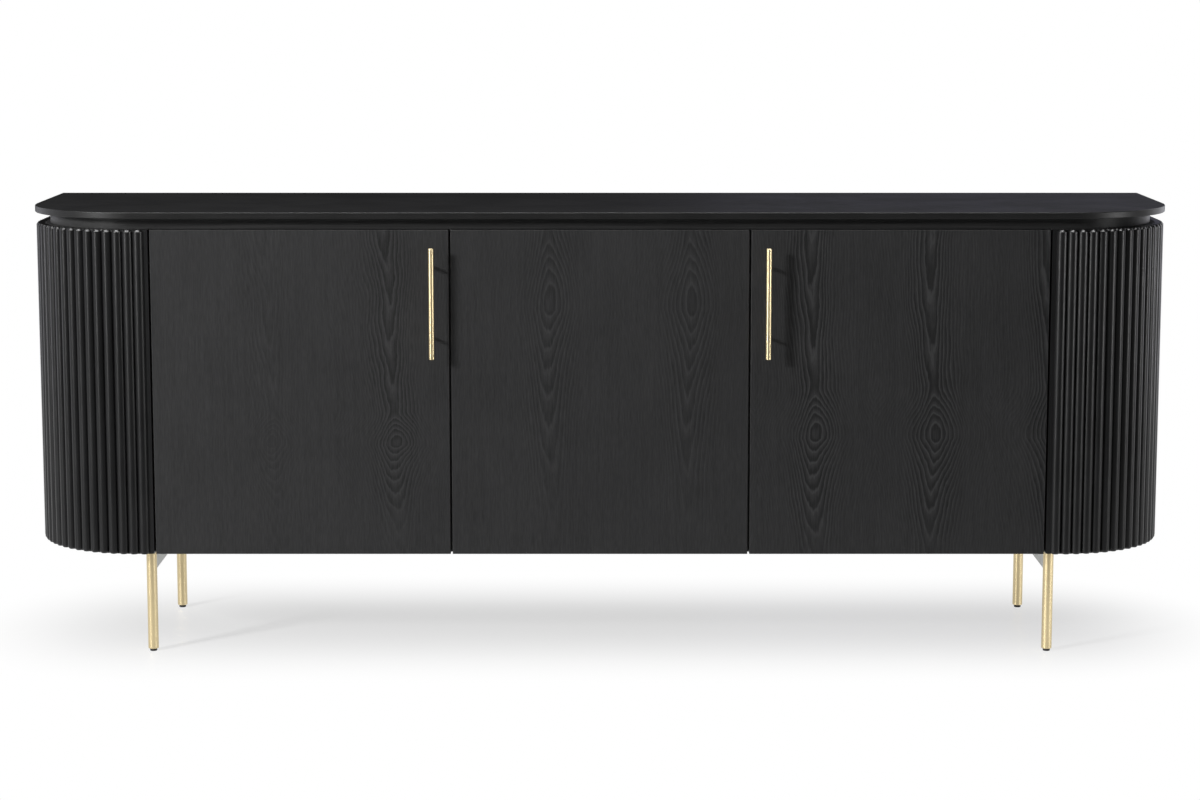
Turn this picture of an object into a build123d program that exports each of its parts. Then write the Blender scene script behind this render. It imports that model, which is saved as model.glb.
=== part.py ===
from build123d import *
from collections import namedtuple
import math
import os

# A long sideboard on four rod legs: three flat doors between two reeded, rounded ends.
# Millimetres. X runs along the length, -Y is the front and Z is up from the floor.
# The origin is on the floor, in the middle of the length and of the depth over the handles.

# Cabinet
BODY_DEPTH = 442.0  # door fronts to the back
BODY_HEIGHT = 593.0  # doors and reeded ends
FLOOR_CLEARANCE = 191.0  # floor to the underside of the cabinet
BOARD = 18.0  # thickness of carcass boards and shelves
BACK_PANEL = 6.0  # thickness of the back
GLUE_LINE = 0.1  # between a reeded end and the boards that it is bent round
WELD_LINE = 0.1  # between a round bar or leg and the end that is cut to its curve
ROUND_SHARE = 0.4  # most of a wall or a short run that one rounding takes

# Top
SLAB_THICKNESS = 12.0
SLAB_OVERHANG = 2.0  # past the reeds, at the front and the ends
SLAB_ARRIS = 1.5  # chamfer round the slab's rims
NECK_HEIGHT = 20.0
NECK_INSET = 25.0  # behind the reeds, at the front and the ends

# Doors
DOOR_WIDTH = 537.0
DOOR_THICKNESS = 18.0
DOOR_GAP = 3.5  # between neighbours
DOOR_BACK_GAP = 3.0  # door back to the front edges of the carcass
DOOR_ARRIS = 0.8  # chamfer round the door's face

# Reeded ends
CORNER_RADIUS = 200.0  # rounded corner, at the bottom of the reeds
END_FLAT = 28.5  # straight front of the panel, before the corner
EDGE_LAND = 8.0  # plain strip beside the door
REED_HEIGHT = 7.0
REED_PITCH = 19.2  # nominal: evened out to a whole number of reeds
REED_BACKING = 9.0  # panel behind the reeds
REED_SETBACK = 1.0  # bottom of the reeds behind the door fronts
BATTEN_DEPTH = 30.0  # upright behind the panel's front edge

# Bar handles
HANDLE_LENGTH = 200.0
HANDLE_DIAMETER = 10.0
HANDLE_STANDOFF = 30.0  # door front to the bar's axis
HANDLE_INSET = 30.0  # door's free edge to the bar's axis
HANDLE_DROP = 131.0  # door top to the bar's middle
HANDLE_END_CHAMFER = 1.0
POST_SPACING = 128.0
POST_DIAMETER = 6.0

# Cup hinges
HINGE_INSET = 95.0  # door end to the hinge's middle
PIN_FROM_EDGE = 8.0  # hinge pin to the door's edge
PIN_FROM_FRONT = 7.5  # hinge pin to the door's front
PIN_DIAMETER = 3.0
PIN_CLEARANCE = 0.05  # running fit, on the radius
KNUCKLE_WALL = 0.95
CUP_DIAMETER = 35.0
CUP_EDGE = 3.0  # door's edge to the cup
CUP_DEPTH = 14.4
CUP_WALL = 0.8
CUP_FIT = 0.05  # cup in its bore, on the radius
FLANGE_LIP = 1.0  # flange past the cup, on the radius
FLANGE_THICKNESS = 1.0
FLANGE_LENGTH = 58.0  # over the two screw ears
FLANGE_EAR_WIDTH = 13.0
FLANGE_EAR_ROUND = 5.0
ARM_THICKNESS = 3.0
ARM_WIDTH = 10.0
ARM_REACH = 20.0  # pin to the strip that leaves the cup
ARM_SETBACK = 17.0  # pin to the strip that turns to the partition
ARM_TAIL = 46.0  # length along the partition
ARM_BEND = 4.0  # bend radius
PLATE_THICKNESS = 2.0
PLATE_LENGTH = 44.0
PLATE_WIDTH = 14.0
PLATE_WING_LENGTH = 48.0  # over the two screw wings
PLATE_WING_WIDTH = 16.0
PLATE_ROUND = 3.0

# Catches, latch and bumpers
STRIKE_THICKNESS = 2.0
STRIKE_WIDTH = 30.0
STRIKE_HEIGHT = 11.0
CATCH_WIDTH = 40.0
CATCH_HEIGHT = 13.0
CATCH_DEPTH = 15.0
CATCH_ROUND = 3.0  # lower long edges
CATCH_INSET = 70.0  # door's free edge to the middle of a catch or latch
LATCH_WIDTH = 20.0
LATCH_HEIGHT = 16.0
LATCH_DEPTH = 72.0
LATCH_ROUND = 6.0  # lower long edges
PLUNGER_DIAMETER = 8.0
PLUNGER_CLEARANCE = 0.05  # sliding fit, on the radius
PLUNGER_LENGTH = 50.0
PLUNGER_TIP_DIAMETER = 11.0
PLUNGER_TIP_LENGTH = 4.0
PLUNGER_END_ROOM = 6.0  # bore behind the plunger
TIP_GAP = 1.0  # tip to the housing when the latch is shut
BUMPER_DIAMETER = 8.0
BUMPER_INSET = 26.0  # door's free edge to the bumper

# Shelves
SHELF_HEIGHT = 262.0  # carcass bottom to the shelf's underside
SHELF_SETBACK = 22.0  # behind the front edges of the partitions
SHELF_END_GAP = 1.5
SHELF_BACK_GAP = 2.0
SHELF_PIN_DIAMETER = 5.0
SHELF_PIN_DEPTH = 7.0  # in the partition
SHELF_PIN_REACH = 9.0  # under the shelf
SHELF_PIN_FLAT = 1.5  # pin's axis to the flat under the shelf
SHELF_PIN_INSET = 45.0  # pin's axis to the shelf's front or back edge

# Base
LEG_DIAMETER = 19.0
LEG_WALL = 1.5
LEG_END_INSET = 223.0  # end of the cabinet to the leg's axis
LEG_FRONT_INSET = 45.0  # door fronts to the leg's axis
LEG_BACK_INSET = 49.0  # back of the cabinet to the leg's axis
RAIL_WIDTH = 16.0
RAIL_HEIGHT = 38.0
GLIDE_HEIGHT = 5.0
GLIDE_DIAMETER = 13.0
GLIDE_EDGE_CHAMFER = 1.0
GLIDE_PLUG_LENGTH = 14.0
GLIDE_PLUG_FIT = 0.1  # plug in the leg, on the radius

# Depths, from the front to the back
HANDLE_REACH = HANDLE_STANDOFF + HANDLE_DIAMETER / 2
DOOR_FRONT = HANDLE_REACH - (HANDLE_REACH + BODY_DEPTH) / 2
BACK = DOOR_FRONT + BODY_DEPTH
DOOR_BACK = DOOR_FRONT + DOOR_THICKNESS
CARCASS_FRONT = DOOR_BACK + DOOR_BACK_GAP
CARCASS_BACK = BACK - BACK_PANEL
REED_BASE = DOOR_FRONT + REED_SETBACK
REED_CREST = REED_BASE - REED_HEIGHT
STRIKE_FACE = DOOR_BACK + STRIKE_THICKNESS
PIN_Y = DOOR_FRONT + PIN_FROM_FRONT
SHELF_FRONT = CARCASS_FRONT + SHELF_SETBACK
SHELF_BACK = CARCASS_BACK - SHELF_BACK_GAP
LEG_FRONT = DOOR_FRONT + LEG_FRONT_INSET
LEG_BACK = BACK - LEG_BACK_INSET

# Heights, from the floor up
BODY_BOTTOM = FLOOR_CLEARANCE
BODY_TOP = BODY_BOTTOM + BODY_HEIGHT
BAY_BOTTOM = BODY_BOTTOM + BOARD
BAY_TOP = BODY_TOP - BOARD
SHELF_UNDERSIDE = BAY_BOTTOM + SHELF_HEIGHT
SLAB_BOTTOM = BODY_TOP + NECK_HEIGHT
RAIL_BOTTOM = BODY_BOTTOM - RAIL_HEIGHT

# Widths, from the middle out
DOOR_STEP = DOOR_WIDTH + DOOR_GAP
OPENING_HALF = 1.5 * DOOR_STEP + DOOR_GAP / 2
CORNER_X = OPENING_HALF + END_FLAT
CREST_RADIUS = CORNER_RADIUS + REED_HEIGHT
END_X = CORNER_X + CREST_RADIUS
SEAT_DEPTH = REED_BACKING + GLUE_LINE
SEAT_RADIUS = CORNER_RADIUS - SEAT_DEPTH
SEAT_FRONT = REED_BASE + SEAT_DEPTH
SEAT_X = CORNER_X + SEAT_RADIUS
OUTER_FACE = OPENING_HALF - BOARD
SEAM_X = DOOR_STEP / 2
INNER_FACES = (SEAM_X - BOARD / 2, SEAM_X + BOARD / 2)
LEG_X = END_X - LEG_END_INSET

# Length of the reeded line: flat front, corner and side
FIRST_REED_X = OPENING_HALF + EDGE_LAND
REED_FLAT = END_FLAT - EDGE_LAND
REED_TURN = CORNER_RADIUS * math.pi / 2
CORNER_Y = REED_BASE + CORNER_RADIUS
REED_RUN = REED_FLAT + REED_TURN + BACK - CORNER_Y

# Middles of the doors and of the bays behind them; hinge side is -1 at the left and 1 at the right
Door = namedtuple("Door", "name middle hinge_side has_handle partition_face")
OUTER_OVERLAY = SEAM_X + DOOR_STEP - DOOR_GAP / 2 - OUTER_FACE
SEAM_OVERLAY = SEAM_X - DOOR_GAP / 2 - INNER_FACES[0]
DOORS = (
    Door("left", -DOOR_STEP, -1, True, OUTER_OVERLAY - PIN_FROM_EDGE),
    Door("middle", 0.0, 1, False, SEAM_OVERLAY - PIN_FROM_EDGE),
    Door("right", DOOR_STEP, 1, True, OUTER_OVERLAY - PIN_FROM_EDGE),
)
BAYS = {
    "left": (-OUTER_FACE, -INNER_FACES[1]),
    "middle": (-INNER_FACES[0], INNER_FACES[0]),
    "right": (INNER_FACES[1], OUTER_FACE),
}
HINGE_HEIGHTS = (BODY_BOTTOM + HINGE_INSET, BODY_TOP - HINGE_INSET)


def block(x_range, y_range, z_range):
    """Square-edged piece between three pairs of coordinates."""
    ranges = (x_range, y_range, z_range)
    size = [high - low for low, high in ranges]
    middle = [(high + low) / 2 for low, high in ranges]
    return Pos(*middle) * Box(*size)


def rounded_board(half_width, front, back, radius, bottom, thickness):
    """Board with two rounded front corners and square back corners."""
    outline = Pos(0, (front + back) / 2, bottom) * Rectangle(2 * half_width, back - front)
    front_corners = outline.vertices().group_by(Axis.Y)[0]
    return extrude(fillet(front_corners, radius), thickness)


def rod(start, direction, radius, length):
    """Round rod from a point along a direction."""
    return extrude(Plane(origin=start, z_dir=direction) * Circle(radius), length)


def round_underside(solid, radius):
    """Piece with its two lower edges, from front to back, rounded."""
    size = solid.bounding_box().size
    lower_edges = solid.edges().filter_by(Axis.Y).group_by(Axis.Z)[0]
    return fillet(lower_edges, min(radius, ROUND_SHARE * size.X, ROUND_SHARE * size.Z))


def both_sides(name, solid):
    """Nodes for a right-hand piece and its mirror image."""
    return {f"{name}_left": mirror(solid, about=Plane.YZ), f"{name}_right": solid}


# Top and carcass


def top_slab():
    """Thin slab that covers the reeds, with chamfered rims."""
    front = REED_CREST - SLAB_OVERHANG
    radius = CREST_RADIUS + SLAB_OVERHANG
    slab = rounded_board(END_X + SLAB_OVERHANG, front, BACK, radius, SLAB_BOTTOM, SLAB_THICKNESS)
    faces = slab.faces().sort_by(Axis.Z)
    rims = faces[0].edges() + faces[-1].edges()
    return chamfer(rims, min(SLAB_ARRIS, ROUND_SHARE * SLAB_THICKNESS))


def neck_board():
    """Recessed board that lifts the slab off the cabinet and makes the shadow line."""
    radius = CREST_RADIUS - NECK_INSET
    return rounded_board(END_X - NECK_INSET, REED_CREST + NECK_INSET, BACK, radius, BODY_TOP, NECK_HEIGHT)


def carcass_board(bottom):
    """Full-length board, rounded to carry the reeded ends and set back behind the doors."""
    board = rounded_board(SEAT_X, SEAT_FRONT, CARCASS_BACK, SEAT_RADIUS, bottom, BOARD)
    door_room = block((-OPENING_HALF, OPENING_HALF), (SEAT_FRONT, CARCASS_FRONT), (bottom, bottom + BOARD))
    return board - door_room


def partition(inner_x, pin_sides):
    """Upright board from inner_x outwards, with shelf pin holes in the given sides (-1 left, 1 right)."""
    x_range = (inner_x, inner_x + BOARD)
    board = block(x_range, (CARCASS_FRONT, CARCASS_BACK), (BAY_BOTTOM, BAY_TOP))
    for side in pin_sides:
        face_x = x_range[1] if side > 0 else x_range[0]
        for y in shelf_pin_rows():
            board -= shelf_pin_blank(face_x, y, side)
    return board


def back_panel():
    """Thin back between the rear edges of the reeded ends."""
    return block((-SEAT_X, SEAT_X), (CARCASS_BACK, BACK), (BODY_BOTTOM, BODY_TOP))


# Reeded ends


def reed_base(travel):
    """Base point of the right-hand reeds and its outward direction, by travel from the first reed."""
    if travel < REED_FLAT:
        return Vector(FIRST_REED_X + travel, REED_BASE), Vector(0, -1)
    if travel < REED_FLAT + REED_TURN:
        turn = (travel - REED_FLAT) / CORNER_RADIUS
        outward = Vector(math.sin(turn), -math.cos(turn))
        return Vector(CORNER_X, CORNER_Y) + outward * CORNER_RADIUS, outward
    along_side = travel - REED_FLAT - REED_TURN
    return Vector(CORNER_X + CORNER_RADIUS, CORNER_Y + along_side), Vector(1, 0)


def reed_arcs():
    """Half-round crests side by side along the base line."""
    count = round(REED_RUN / REED_PITCH)
    step = REED_RUN / count
    arcs = []
    for index in range(count):
        crest, outward = reed_base((index + 0.5) * step)
        valleys = [reed_base(end * step)[0] for end in (index, index + 1)]
        arcs.append(ThreePointArc(valleys[0], crest + outward * REED_HEIGHT, valleys[1]))
    return arcs


def reeded_end():
    """Right-hand bent panel: reeds outside, smooth inside, ends square at top and bottom."""
    inner_radius = CORNER_RADIUS - REED_BACKING
    inner_front = REED_BASE + REED_BACKING
    inner_x = CORNER_X + inner_radius
    land = Line((OPENING_HALF, REED_BASE), (FIRST_REED_X, REED_BASE))
    rear_edge = Line((CORNER_X + CORNER_RADIUS, BACK), (inner_x, BACK))
    inner_side = Line((inner_x, BACK), (inner_x, CORNER_Y))
    inner_corner = CenterArc((CORNER_X, CORNER_Y), inner_radius, -90, 90)
    inner_flat = Line((CORNER_X, inner_front), (OPENING_HALF, inner_front))
    front_edge = Line((OPENING_HALF, inner_front), (OPENING_HALF, REED_BASE))
    outline = [land, *reed_arcs(), rear_edge, inner_side, inner_corner, inner_flat, front_edge]
    return extrude(Pos(0, 0, BODY_BOTTOM) * make_face(outline), BODY_HEIGHT)


def front_batten():
    """Right-hand upright that joins the panel's front edge to the outer partition."""
    return block((OPENING_HALF, CORNER_X), (SEAT_FRONT, SEAT_FRONT + BATTEN_DEPTH), (BAY_BOTTOM, BAY_TOP))


def end_rib():
    """Right-hand shelf-like rib at mid height that holds the panel's curve, notched round the batten."""
    bottom = (BAY_BOTTOM + BAY_TOP - BOARD) / 2
    board = rounded_board(SEAT_X, SEAT_FRONT, CARCASS_BACK, SEAT_RADIUS, bottom, BOARD)
    end = block((OPENING_HALF, SEAT_X), (SEAT_FRONT, CARCASS_BACK), (bottom, bottom + BOARD))
    return (board & end) - front_batten()


# Shelves


def shelf_pin_rows():
    """Front and back rows of shelf pins."""
    return SHELF_FRONT + SHELF_PIN_INSET, SHELF_BACK - SHELF_PIN_INSET


def shelf_pin_blank(face_x, y, side):
    """Round pin through a partition's face; side is the way that it sticks out."""
    start = (face_x - side * SHELF_PIN_DEPTH, y, SHELF_UNDERSIDE - SHELF_PIN_FLAT)
    return rod(start, (side, 0, 0), SHELF_PIN_DIAMETER / 2, SHELF_PIN_DEPTH + SHELF_PIN_REACH)


def shelf_pin(face_x, y, side):
    """Shelf pin with a flat where the shelf lies on it."""
    outside = sorted((face_x, face_x + side * SHELF_PIN_REACH))
    above = block(
        outside,
        (y - SHELF_PIN_DIAMETER, y + SHELF_PIN_DIAMETER),
        (SHELF_UNDERSIDE, SHELF_UNDERSIDE + SHELF_PIN_DIAMETER),
    )
    return shelf_pin_blank(face_x, y, side) - above


def shelf(bay):
    """Loose shelf that fits between two partitions."""
    left, right = BAYS[bay]
    return block(
        (left + SHELF_END_GAP, right - SHELF_END_GAP),
        (SHELF_FRONT, SHELF_BACK),
        (SHELF_UNDERSIDE, SHELF_UNDERSIDE + BOARD),
    )


def shelf_pins():
    """Four pins in each bay."""
    pins = []
    for left, right in BAYS.values():
        for y in shelf_pin_rows():
            pins.append(shelf_pin(left, y, 1))
            pins.append(shelf_pin(right, y, -1))
    return pins


# Doors


def free_edge(door, inset):
    """X of a line that lies inset from the door's free edge."""
    return door.middle - door.hinge_side * (DOOR_WIDTH / 2 - inset)


def at_hinges(door, shape):
    """A hinge piece at both hinges of a door; it is drawn with X to the free edge and Y to the back."""
    placed = mirror(shape, about=Plane.YZ) if door.hinge_side > 0 else shape
    pin_x = door.middle + door.hinge_side * (DOOR_WIDTH / 2 - PIN_FROM_EDGE)
    return [Pos(pin_x, PIN_Y, z) * placed for z in HINGE_HEIGHTS]


def cup_mouth():
    """Plane on the door's back, at the middle of a hinge cup, facing into the door."""
    middle = CUP_EDGE + CUP_DIAMETER / 2 - PIN_FROM_EDGE
    return Plane(origin=(middle, DOOR_THICKNESS - PIN_FROM_FRONT, 0), x_dir=(1, 0, 0), z_dir=(0, -1, 0))


def cup_body():
    """Outside of the hinge cup, without its flange."""
    return extrude(cup_mouth() * Circle(CUP_DIAMETER / 2 - CUP_FIT), CUP_DEPTH)


def hinge_pin():
    """Pin across the cup, held in the cup's wall at both ends."""
    blank = Cylinder(PIN_DIAMETER / 2, CUP_DIAMETER)
    return blank & cup_body()


def hinge_cup():
    """Pressed cup with a flange and two screw ears on the door's back."""
    outer_radius = CUP_DIAMETER / 2 - CUP_FIT
    inside = Circle(outer_radius - CUP_WALL)
    ears = RectangleRounded(FLANGE_EAR_WIDTH, FLANGE_LENGTH, FLANGE_EAR_ROUND)
    flange = Circle(CUP_DIAMETER / 2 + FLANGE_LIP) + ears
    cup = cup_body() + extrude(cup_mouth() * flange, -FLANGE_THICKNESS)
    cup -= extrude(cup_mouth() * inside, CUP_DEPTH - CUP_WALL)
    cup -= extrude(cup_mouth() * inside, -FLANGE_THICKNESS)
    return cup - hinge_pin()


def hinge_arm(door):
    """Cranked strip from the pin, out of the cup and along the partition."""
    tail_x = door.partition_face + PLATE_THICKNESS + ARM_THICKNESS / 2
    points = [
        (0, 0),
        (ARM_REACH, 0),
        (ARM_REACH, ARM_SETBACK),
        (tail_x, ARM_SETBACK),
        (tail_x, ARM_SETBACK + ARM_TAIL),
    ]
    bend = min(ARM_BEND, ROUND_SHARE * (ARM_REACH - tail_x), ROUND_SHARE * ARM_SETBACK)
    bore_radius = PIN_DIAMETER / 2 + PIN_CLEARANCE
    strip = trace(FilletPolyline(*points, radius=bend), ARM_THICKNESS)
    outline = strip + Circle(bore_radius + KNUCKLE_WALL) - Circle(bore_radius)
    return extrude(Pos(0, 0, -ARM_WIDTH / 2) * outline, ARM_WIDTH)


def hinge_plate(door):
    """Mounting plate on the partition, under the arm's tail, with two screw wings."""
    middle_y = ARM_SETBACK + ARM_TAIL / 2
    seat = Plane(origin=(door.partition_face, middle_y, 0), x_dir=(0, 1, 0), z_dir=(1, 0, 0))
    body = Rectangle(PLATE_LENGTH, PLATE_WIDTH)
    wings = RectangleRounded(PLATE_WING_WIDTH, PLATE_WING_LENGTH, PLATE_ROUND)
    return extrude(seat * (body + wings), PLATE_THICKNESS)


def handle_places(door):
    """Heights of the two posts, and the X of the bar."""
    middle = BODY_TOP - HANDLE_DROP
    return free_edge(door, HANDLE_INSET), (middle - POST_SPACING / 2, middle + POST_SPACING / 2)


def handle_bar(door):
    """Round bar with chamfered ends."""
    bar_x, post_heights = handle_places(door)
    bottom = sum(post_heights) / 2 - HANDLE_LENGTH / 2
    bar = rod((bar_x, DOOR_FRONT - HANDLE_STANDOFF, bottom), (0, 0, 1), HANDLE_DIAMETER / 2, HANDLE_LENGTH)
    return chamfer(bar.edges().filter_by(GeomType.CIRCLE), HANDLE_END_CHAMFER)


def handle_posts(door):
    """Posts from the door to the bar, cut to its curve."""
    bar_x, post_heights = handle_places(door)
    posts = []
    for z in post_heights:
        post = rod((bar_x, DOOR_FRONT, z), (0, -1, 0), POST_DIAMETER / 2, HANDLE_STANDOFF)
        saddle_start = (bar_x, DOOR_FRONT - HANDLE_STANDOFF, z - POST_DIAMETER)
        saddle = rod(saddle_start, (0, 0, 1), HANDLE_DIAMETER / 2 + WELD_LINE, 2 * POST_DIAMETER)
        posts.append(post - saddle)
    return posts


def door_panel(door):
    """Flat door with chamfered face edges and two cup bores."""
    x_range = (door.middle - DOOR_WIDTH / 2, door.middle + DOOR_WIDTH / 2)
    panel = block(x_range, (DOOR_FRONT, DOOR_BACK), (BODY_BOTTOM, BODY_TOP))
    face_edges = panel.faces().sort_by(Axis.Y)[0].edges()
    panel = chamfer(face_edges, DOOR_ARRIS)
    bore = extrude(cup_mouth() * Circle(CUP_DIAMETER / 2), CUP_DEPTH)
    for placed_bore in at_hinges(door, bore):
        panel -= placed_bore
    return panel


# Catches, latch and bumpers


def strike_plate(door):
    """Plate on the door's back that the catch or the plunger meets."""
    x = free_edge(door, CATCH_INSET)
    middle_z = BAY_TOP - CATCH_HEIGHT / 2
    return block(
        (x - STRIKE_WIDTH / 2, x + STRIKE_WIDTH / 2),
        (DOOR_BACK, STRIKE_FACE),
        (middle_z - STRIKE_HEIGHT / 2, middle_z + STRIKE_HEIGHT / 2),
    )


def magnetic_catch(door):
    """Catch under the carcass top, its face on the strike plate of the shut door."""
    x = free_edge(door, CATCH_INSET)
    catch = block(
        (x - CATCH_WIDTH / 2, x + CATCH_WIDTH / 2),
        (STRIKE_FACE, STRIKE_FACE + CATCH_DEPTH),
        (BAY_TOP - CATCH_HEIGHT, BAY_TOP),
    )
    return round_underside(catch, CATCH_ROUND)


def plunger_start(door):
    """Point where the plunger meets the strike plate of the shut door."""
    return Vector(free_edge(door, CATCH_INSET), STRIKE_FACE, BAY_TOP - LATCH_HEIGHT / 2)


def latch_plunger(door):
    """Sprung plunger with a wider tip."""
    start = plunger_start(door)
    tip = rod(start, (0, 1, 0), PLUNGER_TIP_DIAMETER / 2, PLUNGER_TIP_LENGTH)
    stem = rod(start, (0, 1, 0), PLUNGER_DIAMETER / 2, PLUNGER_TIP_LENGTH + PLUNGER_LENGTH)
    return tip + stem


def push_latch_housing(door):
    """Housing under the carcass top with a blind bore for the plunger."""
    start = plunger_start(door)
    front = STRIKE_FACE + PLUNGER_TIP_LENGTH + TIP_GAP
    housing = block(
        (start.X - LATCH_WIDTH / 2, start.X + LATCH_WIDTH / 2),
        (front, front + LATCH_DEPTH),
        (BAY_TOP - LATCH_HEIGHT, BAY_TOP),
    )
    bore_length = PLUNGER_LENGTH - TIP_GAP + PLUNGER_END_ROOM
    bore_radius = PLUNGER_DIAMETER / 2 + PLUNGER_CLEARANCE
    bore = rod((start.X, front, start.Z), (0, 1, 0), bore_radius, bore_length)
    return round_underside(housing, LATCH_ROUND) - bore


def door_bumpers():
    """Soft discs on the carcass edges that the doors shut against."""
    heights = (BODY_BOTTOM + BOARD / 2, BODY_TOP - BOARD / 2)
    places = [(free_edge(door, BUMPER_INSET), DOOR_BACK, z) for door in DOORS for z in heights]
    return [rod(place, (0, 1, 0), BUMPER_DIAMETER / 2, DOOR_BACK_GAP) for place in places]


# Base


def leg(x, y):
    """Tube from the glide to the underside of the cabinet."""
    radius = LEG_DIAMETER / 2
    length = BODY_BOTTOM - GLIDE_HEIGHT
    start = (x, y, GLIDE_HEIGHT)
    return rod(start, (0, 0, 1), radius, length) - rod(start, (0, 0, 1), radius - LEG_WALL, length)


def glide(x, y):
    """Foot pad with a plug in the leg's end."""
    plug_radius = LEG_DIAMETER / 2 - LEG_WALL - GLIDE_PLUG_FIT
    foot = rod((x, y, 0), (0, 0, 1), GLIDE_DIAMETER / 2, GLIDE_HEIGHT)
    foot = chamfer(foot.edges().group_by(Axis.Z)[0], GLIDE_EDGE_CHAMFER)
    return foot + rod((x, y, GLIDE_HEIGHT), (0, 0, 1), plug_radius, GLIDE_PLUG_LENGTH)


def frame_rail(x):
    """Flat bar between a front and a back leg, its ends cut to the legs' curve."""
    bar = block((x - RAIL_WIDTH / 2, x + RAIL_WIDTH / 2), (LEG_FRONT, LEG_BACK), (RAIL_BOTTOM, BODY_BOTTOM))
    for y in (LEG_FRONT, LEG_BACK):
        bar -= rod((x, y, RAIL_BOTTOM), (0, 0, 1), LEG_DIAMETER / 2 + WELD_LINE, RAIL_HEIGHT)
    return bar


# All nodes, by name


def carcass_nodes():
    """Slab, neck, boards, ends and shelves."""
    nodes = {
        "top_slab": top_slab(),
        "neck_board": neck_board(),
        "carcass_top": carcass_board(BAY_TOP),
        "carcass_bottom": carcass_board(BODY_BOTTOM),
        "back_panel": back_panel(),
        "shelf_pins": shelf_pins(),
    }
    nodes |= both_sides("outer_partition", partition(OUTER_FACE, (-1,)))
    nodes |= both_sides("inner_partition", partition(INNER_FACES[0], (-1, 1)))
    nodes |= both_sides("reeded_end", reeded_end())
    nodes |= both_sides("front_batten", front_batten())
    nodes |= both_sides("end_rib", end_rib())
    for bay in BAYS:
        nodes[f"shelf_{bay}"] = shelf(bay)
    return nodes


def base_nodes():
    """Legs, glides and rails."""
    nodes = {"leg_glides": []}
    for side, x in (("left", -LEG_X), ("right", LEG_X)):
        nodes[f"frame_rail_{side}"] = frame_rail(x)
        for end, y in (("front", LEG_FRONT), ("back", LEG_BACK)):
            nodes[f"{end}_leg_{side}"] = leg(x, y)
            nodes["leg_glides"].append(glide(x, y))
    return nodes


def door_nodes():
    """Doors with their hinges, handles, catches and latch."""
    nodes = {"hinge_plates": [], "magnetic_catches": [], "door_bumpers": door_bumpers()}
    for door in DOORS:
        nodes[f"door_panel_{door.name}"] = door_panel(door)
        nodes[f"hinge_cups_{door.name}"] = at_hinges(door, hinge_cup())
        nodes[f"hinge_pins_{door.name}"] = at_hinges(door, hinge_pin())
        nodes[f"hinge_arms_{door.name}"] = at_hinges(door, hinge_arm(door))
        nodes[f"strike_plate_{door.name}"] = strike_plate(door)
        nodes["hinge_plates"] += at_hinges(door, hinge_plate(door))
        if door.has_handle:
            nodes[f"handle_bar_{door.name}"] = handle_bar(door)
            nodes[f"handle_posts_{door.name}"] = handle_posts(door)
            nodes["magnetic_catches"].append(magnetic_catch(door))
        else:
            nodes["push_latch_housing"] = push_latch_housing(door)
            nodes["latch_plunger"] = latch_plunger(door)
    return nodes


def main():
    """Write one STEP file for each node."""
    os.makedirs("parts", exist_ok=True)
    for name, shape in (carcass_nodes() | base_nodes() | door_nodes()).items():
        group = Compound(children=shape) if isinstance(shape, list) else shape
        export_step(group, f"parts/{name}.step")


main()
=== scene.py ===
"""Looks of a long black sideboard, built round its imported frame: veneer, reeds, brass, fittings and studio."""

import logging
import math
from dataclasses import dataclass
from enum import Enum
from typing import Iterable, NamedTuple, Sequence

import bmesh
import bpy
from mathutils import Matrix, Vector


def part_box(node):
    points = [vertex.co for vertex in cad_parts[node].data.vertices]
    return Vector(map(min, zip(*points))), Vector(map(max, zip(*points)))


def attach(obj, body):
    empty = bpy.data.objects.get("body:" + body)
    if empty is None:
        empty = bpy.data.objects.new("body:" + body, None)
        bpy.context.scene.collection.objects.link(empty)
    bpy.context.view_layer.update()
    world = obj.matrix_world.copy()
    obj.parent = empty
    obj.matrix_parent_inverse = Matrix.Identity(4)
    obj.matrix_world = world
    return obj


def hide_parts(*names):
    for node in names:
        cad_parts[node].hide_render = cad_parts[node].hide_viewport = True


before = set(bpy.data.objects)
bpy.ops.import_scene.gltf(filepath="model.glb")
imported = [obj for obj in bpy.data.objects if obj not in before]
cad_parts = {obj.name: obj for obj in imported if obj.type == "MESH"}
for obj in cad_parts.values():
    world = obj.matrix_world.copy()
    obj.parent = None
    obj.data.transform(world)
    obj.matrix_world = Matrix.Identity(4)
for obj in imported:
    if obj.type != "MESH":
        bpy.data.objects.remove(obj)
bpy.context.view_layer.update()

log = logging.getLogger("sideboard")

MM = 0.001
SMOOTH_ANGLE = math.radians(38)
SOFTEN_ANGLE = math.radians(40)
FLAT_ANGLE = math.radians(1)
MERGE_DISTANCE = 0.002 * MM
ARRIS = "arris"
BACKWARDS = Vector((0.0, 1.0, 0.0))
DOWNWARDS = Vector((0.0, 0.0, -1.0))

Node = bpy.types.Node
Socket = bpy.types.NodeSocket
Sockets = bpy.types.bpy_prop_collection
Tree = bpy.types.NodeTree
Mesh = bpy.types.Mesh
Object = bpy.types.Object
Shape = bmesh.types.BMesh
Colour = tuple[float, float, float]
Point2 = tuple[float, float]
Point3 = tuple[float, float, float]


def grey(level: float) -> Colour:
    """Give a neutral colour."""
    return (level, level, level)


def quarter_turn(steps: int) -> list[float]:
    """Give the angles of a quarter turn, in equal steps from 0."""
    return [math.pi / 2 * index / steps for index in range(steps + 1)]


def stand(*objects: Object) -> None:
    """Put objects into the scene."""
    for each in objects:
        bpy.context.scene.collection.objects.link(each)


class Side(Enum):
    """Left or right of the cabinet, with the sign of its X."""

    LEFT = -1
    RIGHT = 1

    @property
    def word(self) -> str:
        """The side's name as the CAD nodes spell it."""
        return self.name.lower()


class GrainRun(Enum):
    """Which way the wood's grain runs."""

    UPRIGHT = "upright"
    LENGTHWISE = "lengthwise"


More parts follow.
